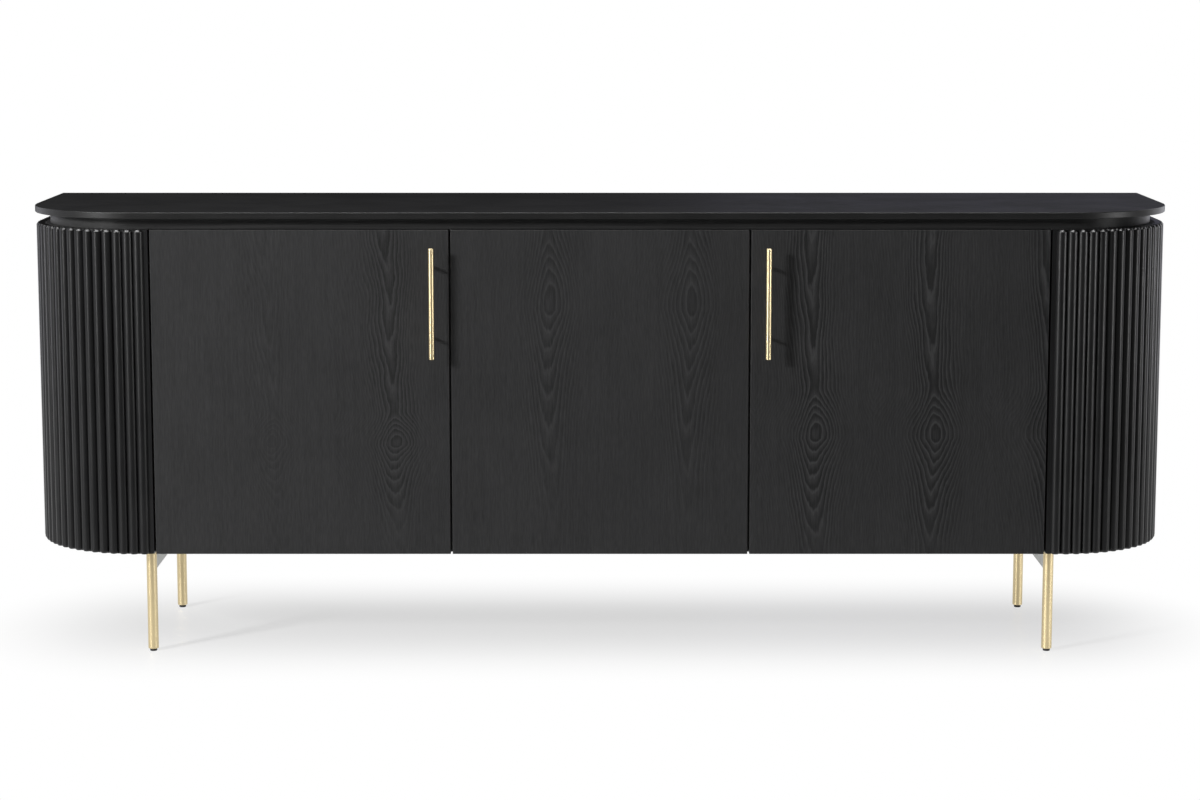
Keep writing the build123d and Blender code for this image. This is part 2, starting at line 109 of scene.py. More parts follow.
class NodeBench:
    """Places nodes in one tree and joins their sockets."""

    MIX_LOW, MIX_HIGH, MIX_RESULT = 6, 7, 2  # numbers of the Mix node's colour sockets

    def __init__(self, tree: Tree) -> None:
        """Keep the tree that the nodes go into."""
        self.tree = tree

    @classmethod
    def of(cls, owner: bpy.types.Material | bpy.types.World) -> "NodeBench":
        """Give the bench of a material or world, cleared of its first nodes.

        Args:
            owner: the material or world.

        Returns:
            The bench.
        """
        owner.use_nodes = True
        owner.node_tree.nodes.clear()
        return cls(owner.node_tree)

    def add(self, kind: str, inputs: dict[str | int, object] | None = None, **settings: object) -> Node:
        """Place a node.

        Args:
            kind: the node's type name.
            inputs: plain values or output sockets, by input name or number.
            settings: properties to set on it.

        Returns:
            The new node.
        """
        node = self.tree.nodes.new(kind)
        for name, value in settings.items():
            setattr(node, name, value)
        for key, value in (inputs or {}).items():
            self.put(node.inputs[key], value)
        return node

    def put(self, socket: Socket, value: object) -> None:
        """Link an output to an input, or set a plain value; a plain colour gets its alpha here.

        Args:
            socket: the input.
            value: an output socket, or a plain value.
        """
        if isinstance(value, Socket):
            self.tree.links.new(value, socket)
        else:
            socket.default_value = (*value, 1.0) if socket.type == "RGBA" else value

    def math(self, operation: str, *values: object) -> Socket:
        """Work out a number from numbers or sockets, in the Math node's order."""
        return self.add("ShaderNodeMath", dict(enumerate(values)), operation=operation).outputs[0]

    def vector(self, operation: str, *values: object) -> Socket:
        """Work out a vector, or a vector's length, from vectors or sockets."""
        node = self.add("ShaderNodeVectorMath", dict(enumerate(values)), operation=operation)
        return node.outputs["Value" if operation == "LENGTH" else "Vector"]

    def axes(self, vector: Socket) -> Sockets:
        """Take a vector apart into X, Y and Z."""
        return self.add("ShaderNodeSeparateXYZ", {0: vector}).outputs

    def combined(self, *values: object) -> Socket:
        """Put a vector together from three numbers or sockets."""
        return self.add("ShaderNodeCombineXYZ", dict(enumerate(values))).outputs[0]

    def stretched(self, vector: Socket, scale: Sequence[object]) -> Socket:
        """Multiply a vector axis by axis by three numbers or sockets."""
        return self.vector("MULTIPLY", vector, self.combined(*scale))

    def blend(self, factor: object, low: object, high: object) -> Socket:
        """Mix two colours or colour sockets; a factor of 0 gives the low one."""
        inputs = {"Factor": factor, self.MIX_LOW: low, self.MIX_HIGH: high}
        return self.add("ShaderNodeMix", inputs, data_type="RGBA").outputs[self.MIX_RESULT]

    def ramp(self, value: object, low: object, high: object, start: object = 0.0, end: object = 1.0) -> Socket:
        """Stretch a number from one range to another, smoothly and clamped.

        Args:
            value: number or socket.
            low: where the ramp begins.
            high: where it ends.
            start: result at low.
            end: result at high.

        Returns:
            The result's socket.
        """
        inputs = dict(enumerate((value, low, high, start, end)))
        return self.add("ShaderNodeMapRange", inputs, interpolation_type="SMOOTHSTEP").outputs[0]

    def along(self, place: Socket, run: GrainRun) -> Socket:
        """Turn coordinates so that the grain runs along their Z.

        Args:
            place: object coordinates.
            run: which way the grain runs on the piece.

        Returns:
            The turned coordinates.
        """
        if run is GrainRun.UPRIGHT:
            return place
        axes = self.axes(place)
        return self.combined(axes["Y"], axes["Z"], axes["X"])


class GeometryBench(NodeBench):
    """Bench of a geometry tree that ends in real geometry with a finish."""

    def __init__(self, name: str, inputs: dict[str, str]) -> None:
        """Start the tree with its named inputs.

        Args:
            name: the tree's name.
            inputs: socket kinds by name, of the inputs between the geometry and the finish.
        """
        super().__init__(bpy.data.node_groups.new(name, "GeometryNodeTree"))
        for label, kind in {"Geometry": "Geometry", **inputs, "Finish": "Material"}.items():
            self.tree.interface.new_socket(label, in_out="INPUT", socket_type=f"NodeSocket{kind}")
        self.tree.interface.new_socket("Geometry", in_out="OUTPUT", socket_type="NodeSocketGeometry")
        self.given = self.add("NodeGroupInput").outputs

    def attribute(self, name: str, kind: str) -> Socket:
        """Read an attribute of the points."""
        return self.add("GeometryNodeInputNamedAttribute", {"Name": name}, data_type=kind).outputs["Attribute"]

    def geometry_of(self, source: Socket) -> Socket:
        """Read the geometry of an object."""
        return self.add("GeometryNodeObjectInfo", {"Object": source}).outputs["Geometry"]

    def instances(self, points: Socket, source: Socket, **inputs: Socket) -> Socket:
        """Stand an object on points; the other inputs go to the instancing node by name."""
        inputs |= {"Points": points, "Instance": self.geometry_of(source)}
        return self.add("GeometryNodeInstanceOnPoints", inputs).outputs["Instances"]

    def close(self, geometry: Socket) -> Tree:
        """Make the geometry real, dress it and give it out.

        Args:
            geometry: what the tree has built.

        Returns:
            The finished tree.
        """
        real = self.add("GeometryNodeRealizeInstances", {"Geometry": geometry}).outputs["Geometry"]
        dressed = self.add("GeometryNodeSetMaterial", {"Geometry": real, "Material": self.given["Finish"]})
        self.add("NodeGroupOutput", {"Geometry": dressed.outputs["Geometry"]})
        return self.tree

    @staticmethod
    def run(tree: Tree, holder: Object, inputs: dict[str, object]) -> Mesh:
        """Run a tree on an object and keep the result as a plain mesh.

        Args:
            tree: the geometry nodes.
            holder: object whose mesh they start from; it is removed.
            inputs: values by input name; objects among them are removed too.

        Returns:
            The new mesh.
        """
        modifier = holder.modifiers.new(tree.name, "NODES")
        modifier.node_group = tree
        sockets = {item.name: item.identifier for item in tree.interface.items_tree if item.in_out == "INPUT"}
        for name, value in inputs.items():
            modifier[sockets[name]] = value
        helpers = [holder, *(value for value in inputs.values() if isinstance(value, Object))]
        stand(*helpers)
        mesh = Joinery.evaluated(holder)
        holder.modifiers.remove(modifier)
        for each in helpers:
            bpy.data.objects.remove(each)
        return mesh


class Pattern(Enum):
    """Surface effects that several finishes share, by the name of their node group."""

    STREAKS = "fine_streaks"
    FIGURE = "leaf_figure"
    MOTTLE = "soft_mottle"
    WEAR = "arris_wear"


class PatternBook:
    """Builds each shared node group once and places it in materials.

    Pairs are where a ramp begins and ends; two more numbers are its results there. Heights are measured from the
    figure's eye, in metres.
    """

    NOISE_ROUGHNESS = 0.58
    STREAK_SOFTNESS, STREAK_HALF_WIDTH = -0.28, 0.3
    MOTTLE_RANGE = (0.3, 0.7)
    WEAR_RANGE = (0.35, 0.7)
    LEAF_STEP = 0.02
    WIDE_NOISE, CLOSE_NOISE = (9.0, 9.0, 5.0), (110.0, 60.0, 45.0)
    SWAY, JITTER = 0.05, 0.7
    EYE_ARCH = (0.004, 0.066)
    TAIL_REACH, TAIL_RINGS = 0.07, -6.0
    BELOW_EYE = (-0.17, -0.06, 0.25, 1.0)
    NEAR_CORE = (0.016, 0.060, 1.0, 0.24)
    LIGHT_FALL, LIGHT_RISE = (0.02, 0.22, 1.0, 0.0), (0.86, 1.0)
    DARK_RISE, DARK_FALL = (0.10, 0.26), (0.34, 0.86, 1.0, 0.0)

    def __init__(self) -> None:
        """Build all the groups."""
        builders = (self._streaks, self._figure, self._mottle, self._wear)
        self.groups = {pattern: build() for pattern, build in zip(Pattern, builders)}

    def place(self, bench: NodeBench, pattern: Pattern, vector: Socket, **values: object) -> Sockets:
        """Place a group in a material.

        Args:
            bench: the material's bench.
            pattern: which group.
            vector: where the pattern is read.
            values: the group's other inputs, with _ for spaces in their names.

        Returns:
            The group's outputs.
        """
        inputs = {"Vector": vector} | {name.replace("_", " "): value for name, value in values.items()}
        return bench.add("ShaderNodeGroup", inputs, node_tree=self.groups[pattern]).outputs

    @staticmethod
    def _new(pattern: Pattern, inputs: dict[str, float], *outputs: str) -> tuple[NodeBench, Sockets, Sockets]:
        """Start a group that reads a vector and some numbers.

        Args:
            pattern: the group's name.
            inputs: number inputs with their defaults.
            outputs: number outputs.

        Returns:
            The group's bench, what it is given and where its results go.
        """
        tree = bpy.data.node_groups.new(pattern.value, "ShaderNodeTree")
        tree.interface.new_socket("Vector", in_out="INPUT", socket_type="NodeSocketVector")
        for name, value in inputs.items():
            socket = tree.interface.new_socket(name, in_out="INPUT", socket_type="NodeSocketFloat")
            socket.default_value = value
        for name in outputs:
            tree.interface.new_socket(name, in_out="OUTPUT", socket_type="NodeSocketFloat")
        bench = NodeBench(tree)
        return bench, bench.add("NodeGroupInput").outputs, bench.add("NodeGroupOutput").inputs

    def _noise(self, bench: NodeBench, vector: Socket, detail: float, scale: object = 1.0) -> Socket:
        """Place a noise texture with some finer layers; its value is about 0.5 on average."""
        inputs = {"Vector": vector, "Scale": scale, "Detail": detail, "Roughness": self.NOISE_ROUGHNESS}
        return bench.add("ShaderNodeTexNoise", inputs).outputs["Fac"]

    def _streaks(self) -> Tree:
        """Long thin streaks that run along Z: wood pores, brushing marks.

        Returns:
            The group.
        """
        inputs = {"Across": 400.0, "Along": 10.0, "Sharpness": 0.5}
        bench, given, result = self._new(Pattern.STREAKS, inputs, "Streak")
        place = bench.stretched(given["Vector"], (given["Across"], given["Across"], given["Along"]))
        noise = self._noise(bench, place, detail=3.0)
        half = bench.math("MULTIPLY_ADD", given["Sharpness"], self.STREAK_SOFTNESS, self.STREAK_HALF_WIDTH)
        low, high = bench.math("SUBTRACT", 0.5, half), bench.math("ADD", 0.5, half)
        bench.put(result["Streak"], bench.ramp(noise, low, high))
        return bench.tree

    def _figure(self) -> Tree:
        """Flame figure of slip-matched veneer leaves: points down each leaf, and one eye.

        Returns:
            The group.
        """
        inputs = {
            "Leaf Width": 0.22, "Core": 0.016, "Across": 190.0, "Along": 13.5, "Lean": 0.05, "Wander": 1.0,
            "Eye Rings": 5.0, "Leaf Fade": 0.0,
        }
        bench, given, result = self._new(Pattern.FIGURE, inputs, "Light", "Dark", "Leaf Tone")
        calc, ramp, core, wander = bench.math, bench.ramp, given["Core"], given["Wander"]
        axes = bench.axes(given["Vector"])
        up = axes["Z"]
        leaned = calc("MULTIPLY_ADD", up, given["Lean"], axes["X"])
        half = calc("MULTIPLY", given["Leaf Width"], 0.5)
        leaf = calc("ROUND", calc("DIVIDE", leaned, given["Leaf Width"]))
        across = calc("WRAP", leaned, half, calc("MULTIPLY", half, -1.0))
        spot = bench.combined(across, calc("MULTIPLY", leaf, self.LEAF_STEP), up)
        wide = self._noise(bench, bench.stretched(spot, self.WIDE_NOISE), detail=2.0)
        close = self._noise(bench, bench.stretched(spot, self.CLOSE_NOISE), detail=2.0)
        sway = calc("MULTIPLY", calc("SUBTRACT", wide, 0.5), calc("MULTIPLY", wander, self.SWAY))
        centred = calc("ADD", across, sway)
        reach = calc("SQRT", calc("MULTIPLY_ADD", centred, centred, calc("MULTIPLY", core, core)))
        spread = calc("MULTIPLY", calc("SUBTRACT", reach, core), given["Across"])
        fall = calc("MULTIPLY", up, calc("MULTIPLY", given["Along"], -1.0))
        tail = calc("EXPONENT", calc("DIVIDE", calc("MINIMUM", up, 0.0), self.TAIL_REACH))
        rings = calc("MULTIPLY_ADD", ramp(up, *self.EYE_ARCH), given["Eye Rings"], calc("ADD", spread, fall))
        rings = calc("MULTIPLY_ADD", tail, self.TAIL_RINGS, rings)
        rings = calc("MULTIPLY_ADD", close, calc("MULTIPLY", wander, self.JITTER), rings)
        part = calc("SUBTRACT", 1.0, calc("FRACT", rings))
        shown = ramp(calc("MULTIPLY_ADD", leaf, given["Leaf Fade"], 1.0), 0.0, 1.0)
        shown = calc("MULTIPLY", shown, ramp(up, *self.BELOW_EYE))
        near = calc("MULTIPLY", ramp(calc("ABSOLUTE", centred), *self.NEAR_CORE), shown)
        light = calc("MAXIMUM", ramp(part, *self.LIGHT_FALL), ramp(part, *self.LIGHT_RISE))
        dark = calc("MULTIPLY", ramp(part, *self.DARK_RISE), ramp(part, *self.DARK_FALL))
        bench.put(result["Light"], calc("MULTIPLY", light, near))
        bench.put(result["Dark"], calc("MULTIPLY", dark, near))
        bench.put(result["Leaf Tone"], wide)
        return bench.tree

    def _mottle(self) -> Tree:
        """Cloudy change between two values, for gloss and faint colour changes.

        Returns:
            The group.
        """
        bench, given, result = self._new(Pattern.MOTTLE, {"Scale": 20.0, "Low": 0.0, "High": 1.0}, "Value")
        noise = self._noise(bench, given["Vector"], detail=3.0, scale=given["Scale"])
        bench.put(result["Value"], bench.ramp(noise, *self.MOTTLE_RANGE, given["Low"], given["High"]))
        return bench.tree

    def _wear(self) -> Tree:
        """Broken rubbing along softened edges, which meshes mark in a face attribute.

        Returns:
            The group.
        """
        bench, given, result = self._new(Pattern.WEAR, {"Amount": 0.5, "Scale": 70.0}, "Wear")
        edge = bench.add("ShaderNodeAttribute", attribute_name=ARRIS).outputs["Fac"]
        noise = self._noise(bench, given["Vector"], detail=2.0, scale=given["Scale"])
        broken = bench.math("MULTIPLY", edge, bench.ramp(noise, *self.WEAR_RANGE))
        bench.put(result["Wear"], bench.math("MULTIPLY", broken, given["Amount"]))
        return bench.tree


PATTERNS = PatternBook()


class Paint(NamedTuple):
    """What a finish paints: its colour, the height of its relief, and marks that roughen its gloss."""

    colour: Socket
    height: Socket
    marks: Socket | None = None


@dataclass(frozen=True, kw_only=True)
class Finish:
    """Base of the finishes: a named material with painted colour, worn arrises, cloudy gloss and fine relief."""

    name: str
    slot: str
    run: GrainRun = GrainRun.UPRIGHT
    dark: Colour
    light: Colour
    worn: Colour = grey(0.0)
    wear: float = 0.0
    wear_scale: float = 70.0
    gloss: Point2
    gloss_scale: float
    marks_rough: float = 0.0
    specular: float = 0.5
    metallic: float = 0.0
    relief_depth: float
    relief_share: float

    def material(self) -> bpy.types.Material:
        """Give the finish's material, built on first use."""
        return bpy.data.materials.get(self.name) or self._build()

    def _build(self) -> bpy.types.Material:
        """Make the material with one Principled shader.

        Returns:
            The new material.
        """
        made = bpy.data.materials.new(self.name)
        bench = NodeBench.of(made)
        place = bench.add("ShaderNodeTexCoord").outputs["Object"]
        colour, height, marks = self.paint(bench, bench.along(place, self.run))
        if self.wear:
            rubbed = PATTERNS.place(bench, Pattern.WEAR, place, Amount=self.wear, Scale=self.wear_scale)
            colour = bench.blend(rubbed["Wear"], colour, self.worn)
        low, high = self.gloss
        rough = PATTERNS.place(bench, Pattern.MOTTLE, place, Scale=self.gloss_scale, Low=low, High=high)["Value"]
        if self.marks_rough:
            rough = bench.math("MULTIPLY_ADD", marks, self.marks_rough, rough)
        relief = {"Strength": self.relief_share, "Distance": self.relief_depth, "Height": height}
        shader = bench.add("ShaderNodeBsdfPrincipled", {
            "Base Color": colour,
            "Roughness": rough,
            "Specular IOR Level": self.specular,
            "Metallic": self.metallic,
            "Normal": bench.add("ShaderNodeBump", relief).outputs["Normal"],
        })
        bench.add("ShaderNodeOutputMaterial", {"Surface": shader.outputs["BSDF"]})
        return made

    def paint(self, bench: NodeBench, place: Socket) -> Paint:
        """Paint the surface; each kind of finish has its own way."""
        raise NotImplementedError


@dataclass(frozen=True, kw_only=True)
class StainedVeneer(Finish):
    """Black stained veneer with a faint flame figure and open pores under a thin matt lacquer."""

    slot: str = "stained_veneer"
    leaf_centre: float = 0.0
    leaf_width: float = 0.219
    eye_height: float = 0.405
    rings_along: float = 13.5
    lean: float = 0.05
    stretch: float = 1.0
    fade: float = 0.0
    figure: float = 1.0
    dark: Colour = (0.0080, 0.0080, 0.0083)
    light: Colour = (0.0430, 0.0430, 0.0440)
    worn: Colour = (0.060, 0.058, 0.056)
    wear: float = 0.35
    gloss: Point2 = (0.46, 0.54)
    gloss_scale: float = 9.0
    marks_rough: float = 0.08
    specular: float = 0.16
    relief_depth: float = 0.10 * MM
    relief_share: float = 0.25

    PORES = {"Across": 560.0, "Along": 44.0, "Sharpness": 0.6}
    FIBRES = {"Across": 210.0, "Along": 7.0, "Sharpness": 0.2}
    MID_TONE, LIGHT_SHARE, DARK_SHARE = 0.42, 0.32, -0.34
    FIBRE_SHARE, PORE_SHARE, LEAF_SHARE = 0.16, -0.22, 0.16
    DARK_SUNK = 0.3

    def paint(self, bench: NodeBench, place: Socket) -> Paint:
        """Paint figure, fibres and pores.

        Args:
            bench: the material's bench.
            place: object coordinates, with the grain along Z.

        Returns:
            The stained colour, the sunk grain and the pores.
        """
        centred = bench.add("ShaderNodeMapping", {
            "Vector": place,
            "Location": (-self.leaf_centre, 0.0, -self.eye_height / self.stretch),
            "Scale": (1.0, 1.0, 1.0 / self.stretch),
        })
        figure = PATTERNS.place(
            bench, Pattern.FIGURE, centred.outputs[0],
            Leaf_Width=self.leaf_width, Along=self.rings_along, Lean=self.lean, Leaf_Fade=self.fade,
        )
        pores = PATTERNS.place(bench, Pattern.STREAKS, place, **self.PORES)["Streak"]
        fibres = PATTERNS.place(bench, Pattern.STREAKS, place, **self.FIBRES)["Streak"]
        tone = self.MID_TONE
        for layer, share in (
            (figure["Light"], self.LIGHT_SHARE * self.figure),
            (figure["Dark"], self.DARK_SHARE * self.figure),
            (fibres, self.FIBRE_SHARE),
            (pores, self.PORE_SHARE),
            (figure["Leaf Tone"], self.LEAF_SHARE),
        ):
            tone = bench.math("MULTIPLY_ADD", layer, share, tone)
        sunk = bench.math("MULTIPLY_ADD", figure["Dark"], self.DARK_SUNK, pores)
        return Paint(bench.blend(tone, self.dark, self.light), bench.math("MULTIPLY", sunk, -1.0), pores)


@dataclass(frozen=True, kw_only=True)
class CarcassBoard(Finish):
    """Dark matt board for the inside, with a printed grain that hardly shows."""

    slot: str = "carcass_board"
    dark: Colour = (0.032, 0.032, 0.033)
    light: Colour = (0.058, 0.057, 0.057)
    worn: Colour = (0.085, 0.081, 0.077)
    wear: float = 0.5
    gloss: Point2 = (0.5, 0.62)
    gloss_scale: float = 12.0
    specular: float = 0.35
    relief_depth: float = 0.05 * MM
    relief_share: float = 0.3

    GRAIN = {"Across": 180.0, "Along": 3.0, "Sharpness": 0.35}
    PORES = {"Across": 1300.0, "Along": 30.0, "Sharpness": 0.8}
    PORE_SHARE = -0.35
    TONE_RANGE = (-0.3, 1.0)

    def paint(self, bench: NodeBench, place: Socket) -> Paint:
        """Paint a fine grain with pores.

        Args:
            bench: the material's bench.
            place: object coordinates, with the grain along Z.

        Returns:
            The board's colour and the sunk pores.
        """
        grain = PATTERNS.place(bench, Pattern.STREAKS, place, **self.GRAIN)["Streak"]
        pores = PATTERNS.place(bench, Pattern.STREAKS, place, **self.PORES)["Streak"]
        tone = bench.ramp(bench.math("MULTIPLY_ADD", pores, self.PORE_SHARE, grain), *self.TONE_RANGE)
        return Paint(bench.blend(tone, self.dark, self.light), bench.math("MULTIPLY", pores, -1.0))


@dataclass(frozen=True, kw_only=True)
class Streaked(Finish):
    """Finish whose colour, relief and gloss follow fine streaks along the piece."""

    across: float
    along: float
    sharpness: float

    def paint(self, bench: NodeBench, place: Socket) -> Paint:
        """Paint the streaks.

        Args:
            bench: the material's bench.
            place: object coordinates, with the grain along Z.

        Returns:
            The streaked colour, with the streaks as relief and marks.
        """
        streaks = {"Across": self.across, "Along": self.along, "Sharpness": self.sharpness}
        streak = PATTERNS.place(bench, Pattern.STREAKS, place, **streaks)["Streak"]
        return Paint(bench.blend(streak, self.dark, self.light), streak, streak)


@dataclass(frozen=True, kw_only=True)
class SatinLacquer(Streaked):
    """Black lacquer on shaped wood, satin, with faint streaks of the wood below it."""

    slot: str = "stained_veneer"
    across: float = 420.0
    along: float = 6.0
    sharpness: float = 0.3
    dark: Colour = (0.0060, 0.0060, 0.0063)
    light: Colour = (0.0100, 0.0100, 0.0105)
    worn: Colour = (0.040, 0.039, 0.038)
    wear: float = 0.6
    wear_scale: float = 110.0
    gloss: Point2 = (0.30, 0.36)
    gloss_scale: float = 14.0
    specular: float = 0.25
    relief_depth: float = 0.01 * MM
    relief_share: float = 0.15


@dataclass(frozen=True, kw_only=True)
class BrushedMetal(Streaked):
    """Metal with fine brushing along the piece and a cloudy change of gloss."""

    across: float = 2600.0
    along: float = 4.0
    sharpness: float = 0.35
    gloss_scale: float = 26.0
    marks_rough: float = 0.05
    metallic: float = 1.0
    relief_depth: float = 0.001 * MM
    relief_share: float = 0.1


@dataclass(frozen=True, kw_only=True)
class Clouded(Finish):
    """Finish with a cloudy colour and a fine skin that stands out a little."""

    cloud_scale: float
    skin_scale: float
    skin_share: float = 0.0

    def paint(self, bench: NodeBench, place: Socket) -> Paint:
        """Paint the clouds and, where it has a share in the colour, the skin.

        Args:
            bench: the material's bench.
            place: object coordinates, with the grain along Z.

        Returns:
            The clouded colour and the skin's height.
        """
        tone = PATTERNS.place(bench, Pattern.MOTTLE, place, Scale=self.cloud_scale)["Value"]
        skin = PATTERNS.place(bench, Pattern.MOTTLE, place, Scale=self.skin_scale)["Value"]
        if self.skin_share:
            tone = bench.math("MULTIPLY_ADD", skin, self.skin_share, tone)
            tone = bench.ramp(tone, 0.0, 1.0 + self.skin_share)
        return Paint(bench.blend(tone, self.dark, self.light), skin)


@dataclass(frozen=True, kw_only=True)
class MouldedSkin(Clouded):
    """Moulded plastic or rubber with a fine even texture."""

    cloud_scale: float = 1500.0
    skin_scale: float = 1500.0
    gloss_scale: float = 60.0
    relief_depth: float = 0.04 * MM
    relief_share: float = 0.4


DOOR_VENEERS = {
    "left": StainedVeneer(name="veneer_left", leaf_centre=-0.370, eye_height=0.392, fade=0.62, figure=0.9),
    "middle": StainedVeneer(
        name="veneer_middle", leaf_centre=-0.091, leaf_width=0.252, eye_height=0.64, stretch=2.4, figure=0.7,
    ),
    "right": StainedVeneer(
        name="veneer_right", leaf_centre=0.390, leaf_width=0.214, rings_along=14.0, stretch=1.5, figure=1.3,
    ),
}
SLAB_VENEER = StainedVeneer(
    name="veneer_slab", run=GrainRun.LENGTHWISE, leaf_centre=-0.04, leaf_width=0.3, eye_height=0.55, rings_along=6.0,
    lean=0.01, figure=1.5, dark=(0.0045, 0.0045, 0.0047), light=(0.023, 0.023, 0.024), gloss=(0.48, 0.58),
    specular=0.12,
)
LACQUER = SatinLacquer(name="satin_lacquer")
NECK_LACQUER = SatinLacquer(
    name="neck_lacquer", run=GrainRun.LENGTHWISE, dark=grey(0.027), light=grey(0.042), gloss=(0.36, 0.42),
    specular=0.08,
)
EDGE_LACQUER = SatinLacquer(
    name="edge_lacquer", run=GrainRun.LENGTHWISE, dark=grey(0.008), light=grey(0.012), worn=grey(0.012),
    gloss=(0.36, 0.42), specular=0.24,
)
BOARD_UPRIGHT = CarcassBoard(name="board_upright")
BOARD_LENGTHWISE = CarcassBoard(name="board_lengthwise", run=GrainRun.LENGTHWISE)
FIBRE_BACK = Clouded(
    name="fibre_back", slot="back_board", cloud_scale=5.0, skin_scale=900.0, skin_share=0.45,
    dark=(0.036, 0.036, 0.037), light=(0.048, 0.047, 0.047), worn=(0.12, 0.10, 0.08), wear=0.7,
    gloss=(0.62, 0.75), gloss_scale=30.0, specular=0.3, relief_depth=0.08 * MM, relief_share=0.4,
)
RAIL_PAINT = Clouded(
    name="rail_paint", slot="rail_paint", cloud_scale=18.0, skin_scale=700.0,
    dark=(0.86, 0.87, 0.85), light=(0.92, 0.93, 0.91), worn=(0.70, 0.70, 0.68), wear=0.35, wear_scale=150.0,
    gloss=(0.12, 0.18), gloss_scale=40.0, relief_depth=0.04 * MM, relief_share=0.3,
)
BRASS = BrushedMetal(
    name="brushed_brass", slot="brass", dark=(0.58, 0.48, 0.28), light=(0.68, 0.565, 0.345), gloss=(0.33, 0.36),
)
NICKEL = BrushedMetal(
    name="nickel_plate", slot="hinge_steel", dark=(0.50, 0.49, 0.47), light=(0.66, 0.65, 0.63), gloss=(0.24, 0.34),
)
BLACK_PLASTIC = MouldedSkin(
    name="black_plastic", slot="black_plastic", dark=grey(0.004), light=grey(0.008), gloss=(0.55, 0.65), specular=0.12,
)
GREY_PLASTIC = MouldedSkin(
    name="plunger_plastic", slot="plunger_plastic", dark=(0.26, 0.26, 0.27), light=(0.33, 0.33, 0.34),
    gloss=(0.40, 0.50),
)
RUBBER = MouldedSkin(
    name="bumper_rubber", slot="bumper_rubber", dark=grey(0.022), light=(0.036, 0.036, 0.035), gloss=(0.70, 0.85),
    cloud_scale=2500.0, skin_scale=2500.0,
)


